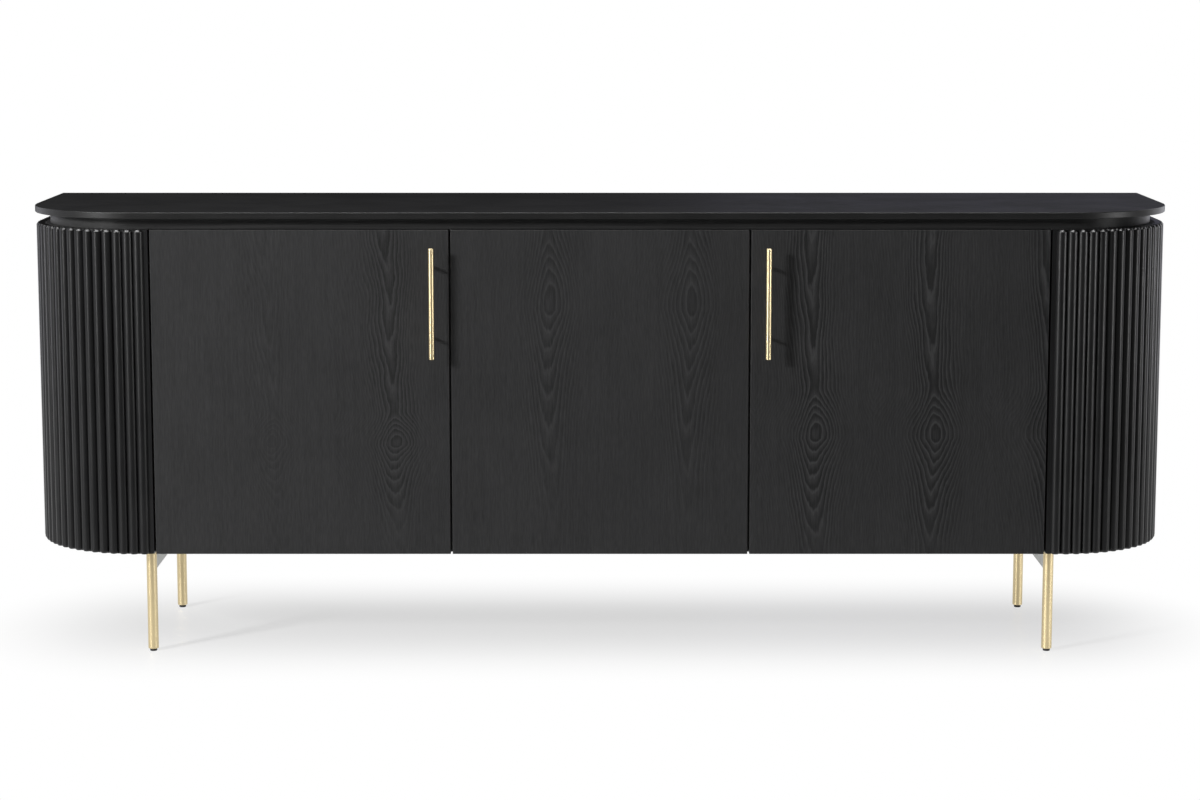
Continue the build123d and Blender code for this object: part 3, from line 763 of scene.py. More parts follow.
class Joinery:
    """Mesh work that all the pieces share."""

    CORNER_STEPS = 40
    BOARD_SEGMENTS = 4
    EASE_STEPS = 5
    ROUND_PROFILE = 0.5

    @staticmethod
    def mesh_of(shape: Shape, name: str) -> Mesh:
        """Turn worked geometry into a smooth-shaded mesh whose flat faces stay flat.

        Args:
            shape: the geometry, which is freed.
            name: the mesh's name.

        Returns:
            The finished mesh.
        """
        mesh = bpy.data.meshes.new(name)
        shape.to_mesh(mesh)
        shape.free()
        mesh.polygons.foreach_set("use_smooth", [True] * len(mesh.polygons))
        mesh.set_sharp_from_angle(angle=SMOOTH_ANGLE)
        holder = bpy.data.objects.new(name, mesh)
        stand(holder)
        holder.modifiers.new("flat_faces", "WEIGHTED_NORMAL").keep_sharp = True
        finished = Joinery.evaluated(holder)
        bpy.data.objects.remove(holder)
        bpy.data.meshes.remove(mesh)
        finished.name = name
        return finished

    @staticmethod
    def evaluated(holder: Object) -> Mesh:
        """Bake an object's modifiers into a new, plain mesh.

        Args:
            holder: the object, which stands in the scene.

        Returns:
            The new mesh.
        """
        graph = bpy.context.evaluated_depsgraph_get()
        baked = holder.evaluated_get(graph)
        return bpy.data.meshes.new_from_object(baked, preserve_all_data_layers=True, depsgraph=graph)

    @staticmethod
    def soften(shape: Shape, edges: Iterable[bmesh.types.BMEdge], width: float, segments: int) -> None:
        """Round edges over and mark the new faces as arrises.

        Args:
            shape: the geometry.
            edges: edges to round.
            width: how far the rounding reaches.
            segments: faces across it.
        """
        marks = shape.faces.layers.float.get(ARRIS) or shape.faces.layers.float.new(ARRIS)
        made = bmesh.ops.bevel(
            shape, geom=list(edges), offset=width, offset_type="OFFSET", segments=segments,
            profile=Joinery.ROUND_PROFILE, affect="EDGES", clamp_overlap=True,
        )
        for face in made["faces"]:
            face[marks] = 1.0

    @staticmethod
    def skin(shape: Shape, rings: Sequence[Sequence[bmesh.types.BMVert]]) -> None:
        """Stretch faces between neighbouring rings; a ring of one repeated vertex is a point.

        Args:
            shape: the geometry.
            rings: closed rings with the same number of vertices.
        """
        for lower, upper in zip(rings, rings[1:]):
            for index in range(len(lower)):
                after = (index + 1) % len(lower)
                corners = dict.fromkeys((lower[index], lower[after], upper[after], upper[index]))
                if len(corners) > 2:
                    shape.faces.new(list(corners))

    @staticmethod
    def rounded_board(low: Vector, high: Vector, radius: float, ease: float, name: str) -> Mesh:
        """Board with two round front corners and softened rims.

        Args:
            low: lowest corner of its box.
            high: highest corner.
            radius: of the round corners.
            ease: rounding of the rims.
            name: the mesh's name.

        Returns:
            The new mesh.
        """
        turns = quarter_turn(Joinery.CORNER_STEPS)
        outline: list[Point2] = [(high.x, high.y), (low.x, high.y)]
        for turn in turns:
            outline.append((low.x + radius * (1 - math.cos(turn)), low.y + radius * (1 - math.sin(turn))))
        for turn in turns:
            outline.append((high.x - radius * (1 - math.sin(turn)), low.y + radius * (1 - math.cos(turn))))
        shape = bmesh.new()
        bottom = shape.faces.new([shape.verts.new((x, y, low.z)) for x, y in outline])
        raised = bmesh.ops.extrude_face_region(shape, geom=[bottom])["geom"]
        tops = [v for v in raised if isinstance(v, bmesh.types.BMVert)]
        bmesh.ops.translate(shape, verts=tops, vec=(0.0, 0.0, high.z - low.z))
        bmesh.ops.recalc_face_normals(shape, faces=shape.faces)
        rims = [e for e in shape.edges if abs(e.verts[0].co.z - e.verts[1].co.z) < ease]
        backs = [e for e in shape.edges if e not in rims and e.calc_face_angle() > SOFTEN_ANGLE]
        Joinery.soften(shape, rims + backs, ease, Joinery.BOARD_SEGMENTS)
        return Joinery.mesh_of(shape, name)

    @staticmethod
    def turned(profile: Sequence[Point2], steps: int, place: Matrix, name: str) -> Mesh:
        """Turn a profile round an axis into a closed shape.

        Args:
            profile: points (radius, height) from one end of the axis to the other, or a closed ring round a bore.
            steps: faces round the axis.
            place: where the axis stands.
            name: the mesh's name.

        Returns:
            The new mesh.
        """
        shape = bmesh.new()
        turns = [2 * math.pi * index / steps for index in range(steps)]
        rings = []
        for radius, height in profile:
            if radius < MERGE_DISTANCE:
                rings.append([shape.verts.new((0.0, 0.0, height))] * steps)
            else:
                rings.append([shape.verts.new((radius * math.cos(t), radius * math.sin(t), height)) for t in turns])
        if profile[0][0] > MERGE_DISTANCE:
            rings.append(rings[0])
        Joinery.skin(shape, rings)
        bmesh.ops.recalc_face_normals(shape, faces=shape.faces)
        shape.transform(place)
        return Joinery.mesh_of(shape, name)

    @staticmethod
    def eased_end(radius: float, height: float, ease: float, sign: int) -> list[Point2]:
        """Profile points of a rod's softened end, from the axis out to the wall.

        Args:
            radius: of the rod.
            height: where the end lies.
            ease: rounding of the end's edge.
            sign: 1 where the rod goes up from the end, -1 where it goes down.

        Returns:
            Points (radius, height).
        """
        points: list[Point2] = [(0.0, height), (radius - ease, height)]
        for turn in quarter_turn(Joinery.EASE_STEPS)[1:]:
            points.append((radius - ease + ease * math.sin(turn), height + sign * ease * (1 - math.cos(turn))))
        return points

    @staticmethod
    def rod(radius: float, bottom: float, top: float, ease: float, steps: int, place: Matrix, name: str) -> Mesh:
        """Round rod with softened ends.

        Args:
            radius: of the rod.
            bottom: where it starts on its axis.
            top: where it ends.
            ease: rounding of its ends.
            steps: faces round it.
            place: where its axis stands.
            name: the mesh's name.

        Returns:
            The new mesh.
        """
        profile = Joinery.eased_end(radius, bottom, ease, 1) + Joinery.eased_end(radius, top, ease, -1)[::-1]
        return Joinery.turned(profile, steps, place, name)

    @staticmethod
    def joined(meshes: Sequence[Mesh], name: str) -> Mesh:
        """Join meshes into one, with their normals kept.

        Args:
            meshes: meshes to join; they are removed.
            name: the new mesh's name.

        Returns:
            The joined mesh.
        """
        shape = bmesh.new()
        for mesh in meshes:
            shape.from_mesh(mesh)
            bpy.data.meshes.remove(mesh)
        return Joinery.mesh_of(shape, name)

    @staticmethod
    def piece(name: str, mesh: Mesh, finish: Finish, *nodes: str, body: str = "carcass") -> Object:
        """Stand a finished mesh in the scene as a piece of the object.

        Args:
            name: the piece's name.
            mesh: its mesh, in place.
            finish: what it is finished in.
            nodes: CAD nodes that it replaces.
            body: the CAD body that it rides on.

        Returns:
            The piece's object.
        """
        mesh.materials.clear()
        mesh.materials.append(finish.material())
        made = bpy.data.objects.new(name, mesh)
        stand(made)
        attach(made, body)
        if nodes:
            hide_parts(*nodes)
        log.info("%s: %d faces on %s", name, len(mesh.polygons), body)
        return made

    @staticmethod
    def softened_piece(
        name: str, node: str, ease: float, finish: Finish, body: str = "carcass", segments: int = 2,
    ) -> None:
        """Stand a copy of a CAD node, with its sharp edges rounded over, as a piece.

        Args:
            name: the piece's name.
            node: the CAD node that it copies and replaces.
            ease: how far the rounding reaches.
            finish: what it is finished in.
            body: the CAD body that it rides on.
            segments: faces across the rounding.
        """
        shape = bmesh.new()
        shape.from_mesh(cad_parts[node].data)
        bmesh.ops.remove_doubles(shape, verts=shape.verts, dist=MERGE_DISTANCE)
        bmesh.ops.dissolve_limit(shape, angle_limit=FLAT_ANGLE, verts=shape.verts, edges=shape.edges)
        sharp = [e for e in shape.edges if len(e.link_faces) == 2 and e.calc_face_angle() > SOFTEN_ANGLE]
        Joinery.soften(shape, sharp, ease, segments)
        Joinery.piece(name, Joinery.mesh_of(shape, node), finish, node, body=body)


@dataclass
class TopBoards:
    """Thin slab and the recessed neck board that carries it."""

    slab_radius: float = 209 * MM
    slab_ease: float = 1.5 * MM
    neck_radius: float = 182 * MM
    neck_ease: float = 0.5 * MM
    level_normal: float = 0.9

    def build(self) -> None:
        """Build and dress both boards; the slab's edge has a lacquer of its own."""
        mesh = Joinery.rounded_board(*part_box("top_slab"), self.slab_radius, self.slab_ease, "slab")
        slab = Joinery.piece("slab", mesh, SLAB_VENEER, "top_slab").data
        slab.materials.append(EDGE_LACQUER.material())
        for face in slab.polygons:
            face.material_index = 0 if abs(face.normal.z) > self.level_normal else 1
        neck = Joinery.rounded_board(*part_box("neck_board"), self.neck_radius, self.neck_ease, "neck")
        Joinery.piece("neck", neck, NECK_LACQUER, "neck_board")


@dataclass
class ReededEnd:
    """Bent end panel with half-round reeds that follow its front, corner and side."""

    side: Side
    corner_radius: float = 200 * MM
    flat_front: float = 28.5 * MM
    edge_land: float = 8 * MM
    reed_height: float = 7 * MM
    reed_root: float = 0.5 * MM
    reed_count: int = 30
    end_inset: float = 2.75 * MM
    end_rise: float = 3.8 * MM
    backing: float = 9 * MM
    backing_drop: float = 0.2 * MM
    corner_steps: int = 60
    crest_steps: int = 14

    TREE = "reeds_along_path"
    END_CHAMFER = ((0.0, 1.0), (0.04, 0.93), (0.92, 0.045), (1.0, 0.0))

    def __post_init__(self) -> None:
        """Read the panel's place from the frame."""
        low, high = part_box(f"reeded_end_{self.side.word}")
        self.inner_x = min(abs(low.x), abs(high.x))
        self.base_y = low.y + self.reed_height
        self.back_y = high.y
        self.bottom, self.top = low.z, high.z
        self.corner = Vector((self.inner_x + self.flat_front, self.base_y + self.corner_radius))
        self.run = self.flat_front - self.edge_land + math.pi / 2 * self.corner_radius + self.back_y - self.corner.y

    def line(self, inset: float, start_x: float) -> list[tuple[Vector, Vector]]:
        """Line along the front, round the corner and down the side.

        Args:
            inset: distance inside the bottom of the reeds.
            start_x: where the line starts at the front.

        Returns:
            Points with their outward directions, for this side.
        """
        radius = self.corner_radius - inset
        points = [(Vector((start_x, self.base_y + inset, 0.0)), Vector((0.0, -1.0, 0.0)))]
        for turn in quarter_turn(self.corner_steps):
            outward = Vector((math.sin(turn), -math.cos(turn), 0.0))
            points.append((self.corner.to_3d() + outward * radius, outward))
        points.append((Vector((self.corner.x + radius, self.back_y, 0.0)), Vector((1.0, 0.0, 0.0))))
        mirror = Vector((self.side.value, 1.0, 1.0))
        return [(place * mirror, outward * mirror) for place, outward in points]

    def path(self) -> Object:
        """Polyline that the reeds stand on, with their outward directions.

        Returns:
            An object that holds the polyline.
        """
        points = self.line(0.0, self.inner_x + self.edge_land)
        mesh = bpy.data.meshes.new("reed_path")
        edges = [(index, index + 1) for index in range(len(points) - 1)]
        mesh.from_pydata([place + Vector((0.0, 0.0, self.bottom)) for place, _ in points], edges, [])
        outward = mesh.attributes.new("outward", "FLOAT_VECTOR", "POINT")
        outward.data.foreach_set("vector", [value for _, direction in points for value in direction])
        return bpy.data.objects.new("reed_path", mesh)

    def reed(self) -> Object:
        """One half-round reed with chamfered ends, standing at the origin with its crest along Y.

        Returns:
            An object that holds the reed.
        """
        half = self.run / self.reed_count / 2
        radius = (half ** 2 + self.reed_height ** 2) / (2 * self.reed_height)
        reach = math.asin(half / radius)
        crest = []
        for index in range(self.crest_steps + 1):
            turn = reach * (1 - 2 * index / self.crest_steps)
            crest.append((radius * math.sin(turn), radius * (math.cos(turn) - 1) + self.reed_height))
        rings = [(rise * self.end_rise, inset * self.end_inset) for rise, inset in self.END_CHAMFER]
        rings += [(self.top - self.bottom - height, inset) for height, inset in reversed(rings)]
        shape = bmesh.new()
        loops = []
        for height, inset in rings:
            share = 1 - inset / self.reed_height
            section = [(x * share, y * share) for x, y in crest]
            section += [(section[-1][0], -self.reed_root), (section[0][0], -self.reed_root)]
            loops.append([shape.verts.new((x, y, height)) for x, y in section])
        Joinery.skin(shape, loops)
        shape.faces.new(loops[0])
        shape.faces.new(loops[-1])
        bmesh.ops.recalc_face_normals(shape, faces=shape.faces)
        return bpy.data.objects.new("reed", Joinery.mesh_of(shape, "reed"))

    def backing_panel(self) -> Object:
        """Bent panel behind the reeds.

        Returns:
            An object that holds the panel.
        """
        outside = [place for place, _ in self.line(0.0, self.inner_x)]
        inside = [place for place, _ in self.line(self.backing, self.inner_x)]
        outline = outside + inside[::-1]
        shape = bmesh.new()
        levels = [
            [shape.verts.new((p.x, p.y, height)) for p in outline]
            for height in (self.bottom + self.backing_drop, self.top - self.backing_drop)
        ]
        Joinery.skin(shape, levels)
        last = len(outline) - 1
        for index in range(len(outside) - 1):
            for level in levels:
                shape.faces.new((level[index], level[index + 1], level[last - index - 1], level[last - index]))
        bmesh.ops.recalc_face_normals(shape, faces=shape.faces)
        return bpy.data.objects.new("reed_backing", Joinery.mesh_of(shape, "reed_backing"))

    def tree(self) -> Tree:
        """Geometry nodes that stand reeds side by side along a path, in front of their backing.

        Returns:
            The node tree.
        """
        bench = GeometryBench(self.TREE, {"Reed": "Object", "Backing": "Object", "Reed Count": "Int"})
        given = bench.given
        curve = bench.add("GeometryNodeMeshToCurve", {"Mesh": given["Geometry"]}).outputs["Curve"]
        ends_and_middles = bench.math("MULTIPLY_ADD", given["Reed Count"], 2.0, 1.0)
        spaced = bench.add("GeometryNodeResampleCurve", {"Curve": curve, "Count": ends_and_middles}).outputs["Curve"]
        points = bench.add("GeometryNodeCurveToPoints", {"Curve": spaced}, mode="EVALUATED").outputs["Points"]
        outward = {"Vector": bench.attribute("outward", "FLOAT_VECTOR")}
        facing = bench.add("FunctionNodeAlignRotationToVector", outward, axis="Y", pivot_axis="Z").outputs["Rotation"]
        middles = bench.math("MODULO", bench.add("GeometryNodeInputIndex").outputs[0], 2.0)
        reeds = bench.instances(points, given["Reed"], Selection=middles, Rotation=facing)
        both = bench.add("GeometryNodeJoinGeometry", {"Geometry": bench.geometry_of(given["Backing"])})
        bench.put(both.inputs["Geometry"], reeds)
        return bench.close(both.outputs["Geometry"])

    def build(self) -> None:
        """Stand the reeds along the panel and dress them."""
        inputs = {
            "Reed": self.reed(), "Backing": self.backing_panel(), "Reed Count": self.reed_count,
            "Finish": LACQUER.material(),
        }
        tree = bpy.data.node_groups.get(self.TREE) or self.tree()
        mesh = GeometryBench.run(tree, self.path(), inputs)
        Joinery.piece(f"reeds_{self.side.word}", mesh, LACQUER, f"reeded_end_{self.side.word}")


@dataclass(frozen=True)
class ScrewPlace:
    """Where a screw's head bears, which way it faces, and its head's diameter."""

    place: Vector
    facing: Vector
    head: float


@dataclass
class ScrewSet:
    """Pan-head screws of one body, with cross recesses; a head's sizes are shares of its diameter."""

    body: str
    places: list[ScrewPlace]
    head_height: float = 0.30
    head_rounding: float = 0.22
    rounding_steps: int = 4
    recess_reach: float = 0.27
    recess_width: float = 0.085
    recess_depth: float = 0.16
    steps: int = 20

    TREE = "screws_on_points"
    DRAW_MAX, DRAW_RESULT = 3, 1  # numbers of the Random Value node's sockets for plain numbers

    def pattern(self) -> Object:
        """One screw head of diameter 1 with a cross recess, facing Z.

        Returns:
            An object that holds the head.
        """
        rounding, top = self.head_rounding, self.head_height
        profile: list[Point2] = [(0.0, 0.0), (0.5, 0.0)]
        for turn in quarter_turn(self.rounding_steps):
            profile.append((0.5 - rounding * (1 - math.cos(turn)), top - rounding * (1 - math.sin(turn))))
        profile.append((0.0, top))
        head = bpy.data.objects.new("screw_head", Joinery.turned(profile, self.steps, Matrix(), "screw_head"))
        shape = bmesh.new()
        size = Matrix.Diagonal((2 * self.recess_reach, self.recess_width, 2 * self.recess_depth, 1.0))
        for turn in (0.0, math.pi / 2):
            place = Matrix.Rotation(turn, 4, "Z") @ Matrix.Translation((0.0, 0.0, top)) @ size
            bmesh.ops.create_cube(shape, size=1.0, matrix=place)
        cutter = bpy.data.objects.new("recess", bpy.data.meshes.new("recess"))
        shape.to_mesh(cutter.data)
        shape.free()
        stand(head, cutter)
        cut = head.modifiers.new("recess", "BOOLEAN")
        cut.object = cutter
        cut.solver = "EXACT"
        cut.use_self = True
        mesh = Joinery.evaluated(head)
        for each in (head, cutter):
            bpy.data.objects.remove(each)
        return bpy.data.objects.new("screw", mesh)

    def tree(self) -> Tree:
        """Geometry nodes that set a screw on each point, facing and sized as the point says.

        Returns:
            The node tree.
        """
        bench = GeometryBench(self.TREE, {"Screw": "Object", "Turn Seed": "Int"})
        given = bench.given
        points = bench.add("GeometryNodeMeshToPoints", {"Mesh": given["Geometry"]}).outputs["Points"]
        facing = {"Vector": bench.attribute("facing", "FLOAT_VECTOR")}
        size = bench.attribute("head", "FLOAT")
        aligned = bench.add("FunctionNodeAlignRotationToVector", facing, axis="Z").outputs["Rotation"]
        draw = {self.DRAW_MAX: math.pi / 2, "Seed": given["Turn Seed"]}
        turn = bench.add("FunctionNodeRandomValue", draw, data_type="FLOAT").outputs[self.DRAW_RESULT]
        spin = bench.add("FunctionNodeAxisAngleToRotation", {"Angle": turn}).outputs[0]
        turned = bench.add("FunctionNodeRotateRotation", {0: aligned, 1: spin}, rotation_space="LOCAL").outputs[0]
        return bench.close(bench.instances(points, given["Screw"], Rotation=turned, Scale=size))

    def build(self) -> None:
        """Set the screws and dress them."""
        mesh = bpy.data.meshes.new("screw_places")
        mesh.from_pydata([each.place for each in self.places], [], [])
        facing = mesh.attributes.new("facing", "FLOAT_VECTOR", "POINT")
        facing.data.foreach_set("vector", [value for each in self.places for value in each.facing])
        heads = mesh.attributes.new("head", "FLOAT", "POINT")
        heads.data.foreach_set("value", [each.head for each in self.places])
        inputs = {"Screw": self.pattern(), "Turn Seed": len(self.places), "Finish": NICKEL.material()}
        tree = bpy.data.node_groups.get(self.TREE) or self.tree()
        made = GeometryBench.run(tree, bpy.data.objects.new("screw_places", mesh), inputs)
        Joinery.piece(f"screws_{self.body}", made, NICKEL, body=self.body)


@dataclass
class Door:
    """One flat door with its hinge cups, pins, strike plate and, on the outer doors, a bar handle."""

    name: str
    hinge_side: Side
    partition: str
    has_handle: bool
    arm_width: float = 10 * MM
    arris: float = 0.5 * MM
    plate_ease: float = 0.25 * MM
    bar_ease: float = 1.2 * MM
    bar_shy: float = 0.02 * MM
    bar_steps: int = 40
    post_ease: float = 0.3 * MM
    post_steps: int = 24
    ear_screw_reach: float = 24 * MM
    ear_screw_head: float = 6.5 * MM
    handle_screw_head: float = 8 * MM

    @property
    def body(self) -> str:
        """The CAD body that this door's pieces ride on."""
        return f"{self.name}_door"

    def build(self) -> None:
        """Build and dress the door."""
        panel = f"door_panel_{self.name}"
        Joinery.softened_piece(f"panel_{self.name}", panel, self.arris, DOOR_VENEERS[self.name], self.body)
        for part in ("hinge_cups", "hinge_pins", "strike_plate"):
            node = f"{part}_{self.name}"
            Joinery.softened_piece(f"{part}_fitting_{self.name}", node, self.plate_ease, NICKEL, self.body)
        if self.has_handle:
            self.handle()
        ScrewSet(self.body, self.screw_places()).build()

    def handle(self) -> None:
        """Build the bar and its posts."""
        node = f"handle_bar_{self.name}"
        low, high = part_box(node)
        bar_y = (low.y + high.y) / 2
        axis = Matrix.Translation(((low.x + high.x) / 2, bar_y, 0.0))
        radius = (high.x - low.x) / 2 - self.bar_shy
        bar = Joinery.rod(radius, low.z, high.z, self.bar_ease, self.bar_steps, axis, "bar")
        Joinery.piece(f"bar_{self.name}", bar, BRASS, node, body=self.body)
        node = f"handle_posts_{self.name}"
        low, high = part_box(node)
        radius, length = (high.x - low.x) / 2, high.y - bar_y
        lie = Matrix.Rotation(math.pi / 2, 4, "X")
        posts = []
        for z in self.post_heights():
            place = Matrix.Translation(((low.x + high.x) / 2, high.y, z)) @ lie
            posts.append(Joinery.rod(radius, 0.0, length, self.post_ease, self.post_steps, place, "post"))
        Joinery.piece(f"posts_{self.name}", Joinery.joined(posts, "posts"), BRASS, node, body=self.body)

    def post_heights(self) -> tuple[float, float]:
        """Heights of the two posts' axes.

        Returns:
            The lower and the upper height.
        """
        low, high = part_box(f"handle_posts_{self.name}")
        radius = (high.x - low.x) / 2
        return low.z + radius, high.z - radius

    def hinge_heights(self) -> tuple[float, float]:
        """Heights of the two hinges' middles."""
        low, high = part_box(f"hinge_arms_{self.name}")
        return low.z + self.arm_width / 2, high.z - self.arm_width / 2

    def screw_places(self) -> list[ScrewPlace]:
        """Screws in the hinge cups' ears and behind the handle's posts.

        Returns:
            The screws' places.
        """
        low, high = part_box(f"hinge_cups_{self.name}")
        places = [
            ScrewPlace(Vector(((low.x + high.x) / 2, high.y, middle + offset)), BACKWARDS, self.ear_screw_head)
            for middle in self.hinge_heights()
            for offset in (-self.ear_screw_reach, self.ear_screw_reach)
        ]
        if self.has_handle:
            low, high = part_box(f"handle_posts_{self.name}")
            door_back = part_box(f"door_panel_{self.name}")[1].y
            places += [
                ScrewPlace(Vector(((low.x + high.x) / 2, door_back, z)), BACKWARDS, self.handle_screw_head)
                for z in self.post_heights()
            ]
        return places


@dataclass
class Carcass:
    """Boards, shelves and back of the cabinet."""

    edge: float = 0.6 * MM
    edge_segments: int = 2
    back_inset: float = 0.35 * MM
    back_screw_head: float = 7 * MM
    back_screw_sink: float = 1.8 * MM
    back_screw_margin: float = 12 * MM
    back_screw_pitch: float = 240 * MM

    UPRIGHTS = ("outer_partition_left", "outer_partition_right", "inner_partition_left", "inner_partition_right",
                "front_batten_left", "front_batten_right")
    LENGTHS = ("carcass_top", "carcass_bottom", "end_rib_left", "end_rib_right", "shelf_left", "shelf_middle",
               "shelf_right")

    def build(self) -> None:
        """Build and dress the boards and the thin back."""
        for nodes, finish in ((self.UPRIGHTS, BOARD_UPRIGHT), (self.LENGTHS, BOARD_LENGTHWISE)):
            for node in nodes:
                Joinery.softened_piece(f"board_{node}", node, self.edge, finish)
        low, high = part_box("back_panel")
        inset = Vector((0.0, self.back_inset, 0.0))
        place = Matrix.Translation((high + low - inset) / 2) @ Matrix.Diagonal((*(high - low - inset), 1.0))
        shape = bmesh.new()
        bmesh.ops.create_cube(shape, size=1.0, matrix=place)
        Joinery.soften(shape, shape.edges[:], self.edge, self.edge_segments)
        Joinery.piece("back", Joinery.mesh_of(shape, "back"), FIBRE_BACK, "back_panel")

    def back_screws(self) -> list[ScrewPlace]:
        """Screws round the back's rim.

        Returns:
            The screws' places.
        """
        low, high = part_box("back_panel")
        y = high.y - self.back_inset - self.back_screw_sink
        along_x, along_z = (
            (start + self.back_screw_margin, end - self.back_screw_margin)
            for start, end in ((low.x, high.x), (low.z, high.z))
        )
        spots = []
        for (start, end), fixed, across in ((along_x, along_z, True), (along_z, along_x, False)):
            count = max(2, round((end - start) / self.back_screw_pitch))
            for index in range(count + 1) if across else range(1, count):
                travel = start + (end - start) * index / count
                spots += [(travel, y, other) if across else (other, y, travel) for other in fixed]
        return [ScrewPlace(Vector(spot), BACKWARDS, self.back_screw_head) for spot in spots]


@dataclass
class Fittings:
    """Hinge arms and plates, shelf pins, catches, push latch and bumpers inside the carcass."""

    plate_ease: float = 0.25 * MM
    block_ease: float = 0.6 * MM
    disc_ease: float = 0.5 * MM
    plate_thickness: float = 2 * MM
    arm_thickness: float = 3 * MM
    arm_tail: float = 46 * MM
    wing_screw_reach: float = 18.5 * MM
    wing_screw_head: float = 7 * MM
    arm_screw_reach: float = 13 * MM
    arm_screw_head: float = 6 * MM
    top_screw_head: float = 9 * MM
    top_screw_inset: float = 85 * MM

    def build(self) -> None:
        """Build and dress the fittings."""
        for node in ("hinge_arms_left", "hinge_arms_middle", "hinge_arms_right", "hinge_plates", "shelf_pins"):
            Joinery.softened_piece(f"{node}_fitting", node, self.plate_ease, NICKEL)
        for node in ("magnetic_catches", "push_latch_housing"):
            Joinery.softened_piece(f"{node}_block", node, self.block_ease, BLACK_PLASTIC)
        Joinery.softened_piece("plunger", "latch_plunger", self.disc_ease, GREY_PLASTIC, "push_plunger")
        Joinery.softened_piece("bumpers", "door_bumpers", self.disc_ease, RUBBER)

    def hinge_screws(self, door: Door) -> list[ScrewPlace]:
        """Screws in the mounting plates' wings and in the arms of one door.

        Args:
            door: the door whose hinges they hold.

        Returns:
            The screws' places.
        """
        low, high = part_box(door.partition)
        facing = Vector((-door.hinge_side.value, 0.0, 0.0))
        face_x = low.x if door.hinge_side is Side.RIGHT else high.x
        plate_x = face_x + facing.x * self.plate_thickness
        arm_x = plate_x + facing.x * self.arm_thickness
        tail_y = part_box(f"hinge_arms_{door.name}")[1].y - self.arm_tail / 2
        places = []
        for middle in door.hinge_heights():
            for sign in (-1, 1):
                wing = Vector((plate_x, tail_y, middle + sign * self.wing_screw_reach))
                places.append(ScrewPlace(wing, facing, self.wing_screw_head))
                arm = Vector((arm_x, tail_y + sign * self.arm_screw_reach, middle))
                places.append(ScrewPlace(arm, facing, self.arm_screw_head))
        return places

    def top_screws(self) -> list[ScrewPlace]:
        """Screws that hold the neck board and slab, under the carcass top.

        Returns:
            The screws' places.
        """
        low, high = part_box("carcass_top")
        places = []
        for bay in ("left", "middle", "right"):
            shelf_low, shelf_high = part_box(f"shelf_{bay}")
            for y in (low.y + self.top_screw_inset, high.y - self.top_screw_inset):
                spot = Vector(((shelf_low.x + shelf_high.x) / 2, y, low.z))
                places.append(ScrewPlace(spot, DOWNWARDS, self.top_screw_head))
        return places


@dataclass
class Base:
    """Brass rod legs on black glides, and the pale rails that join them front to back."""

    leg_wall: float = 1.5 * MM
    leg_ease: float = 0.5 * MM
    leg_ease_steps: int = 4
    leg_steps: int = 48
    glide_radius: float = 6.5 * MM
    glide_ease: float = 0.7 * MM
    plug_length: float = 3 * MM
    glide_steps: int = 32
    rail_ease: float = 1.0 * MM
    rail_segments: int = 3
    bolt_head: float = 11 * MM
    bolt_inset: float = 65 * MM

    def build(self) -> None:
        """Build and dress the base."""
        glides = []
        for side in Side:
            for end in ("front", "back"):
                node = f"{end}_leg_{side.word}"
                low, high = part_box(node)
                axis = Matrix.Translation(((low.x + high.x) / 2, (low.y + high.y) / 2, 0.0))
                Joinery.piece(f"rod_{node}", self.leg(low, high, axis), BRASS, node)
                glides.append(self.glide(low, axis))
            rail = f"frame_rail_{side.word}"
            Joinery.softened_piece(f"bar_{rail}", rail, self.rail_ease, RAIL_PAINT, segments=self.rail_segments)
        Joinery.piece("glides", Joinery.joined(glides, "glides"), BLACK_PLASTIC, "leg_glides")

    def leg(self, low: Vector, high: Vector, axis: Matrix) -> Mesh:
        """One tube leg with softened rims.

        Args:
            low: lowest corner of its box.
            high: highest corner.
            axis: where it stands.

        Returns:
            The leg's mesh.
        """
        outer, ease = (high.x - low.x) / 2, self.leg_ease
        inner = outer - self.leg_wall
        ring: list[Point2] = [(inner, high.z), (inner, low.z + ease), (inner + ease, low.z)]
        for turn in quarter_turn(self.leg_ease_steps):
            ring.append((outer - ease * (1 - math.sin(turn)), low.z + ease * (1 - math.cos(turn))))
        ring.append((outer, high.z))
        return Joinery.turned(ring, self.leg_steps, axis, "leg")

    def glide(self, low: Vector, axis: Matrix) -> Mesh:
        """One glide: a foot with a softened rim and a plug in the leg.

        Args:
            low: lowest corner of the leg's box.
            axis: where the leg stands.

        Returns:
            The glide's mesh.
        """
        profile = Joinery.eased_end(self.glide_radius, 0.0, self.glide_ease, 1)
        plug = low.z + self.plug_length
        profile += [(self.glide_radius, low.z - self.leg_ease), (self.glide_radius, plug), (0.0, plug)]
        return Joinery.turned(profile, self.glide_steps, axis, "glide")

    def bolts(self) -> list[ScrewPlace]:
        """Bolts up through the rails.

        Returns:
            The bolts' places.
        """
        places = []
        for side in Side:
            low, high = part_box(f"frame_rail_{side.word}")
            for y in (low.y + self.bolt_inset, high.y - self.bolt_inset):
                spot = Vector(((low.x + high.x) / 2, y, low.z))
                places.append(ScrewPlace(spot, DOWNWARDS, self.bolt_head))
        return places


@dataclass
class PhotoCamera:
    """Camera at the photograph's place, with its lens and a small shift."""

    eye: Point3 = (0.0, -5.0, 1.2298)
    pitch_down: float = math.radians(7.6588)
    lens: float = 80.517
    sensor_width: float = 36.0
    shift: float = -0.05

    def build(self) -> None:
        """Stand the camera and make it the scene's."""
        data = bpy.data.cameras.new("photo_camera")
        data.lens = self.lens
        data.sensor_width = self.sensor_width
        data.shift_y = self.shift
        camera = bpy.data.objects.new("photo_camera", data)
        camera.location = self.eye
        camera.rotation_euler = (math.pi / 2 - self.pitch_down, 0.0, 0.0)
        stand(camera)
        bpy.context.scene.camera = camera


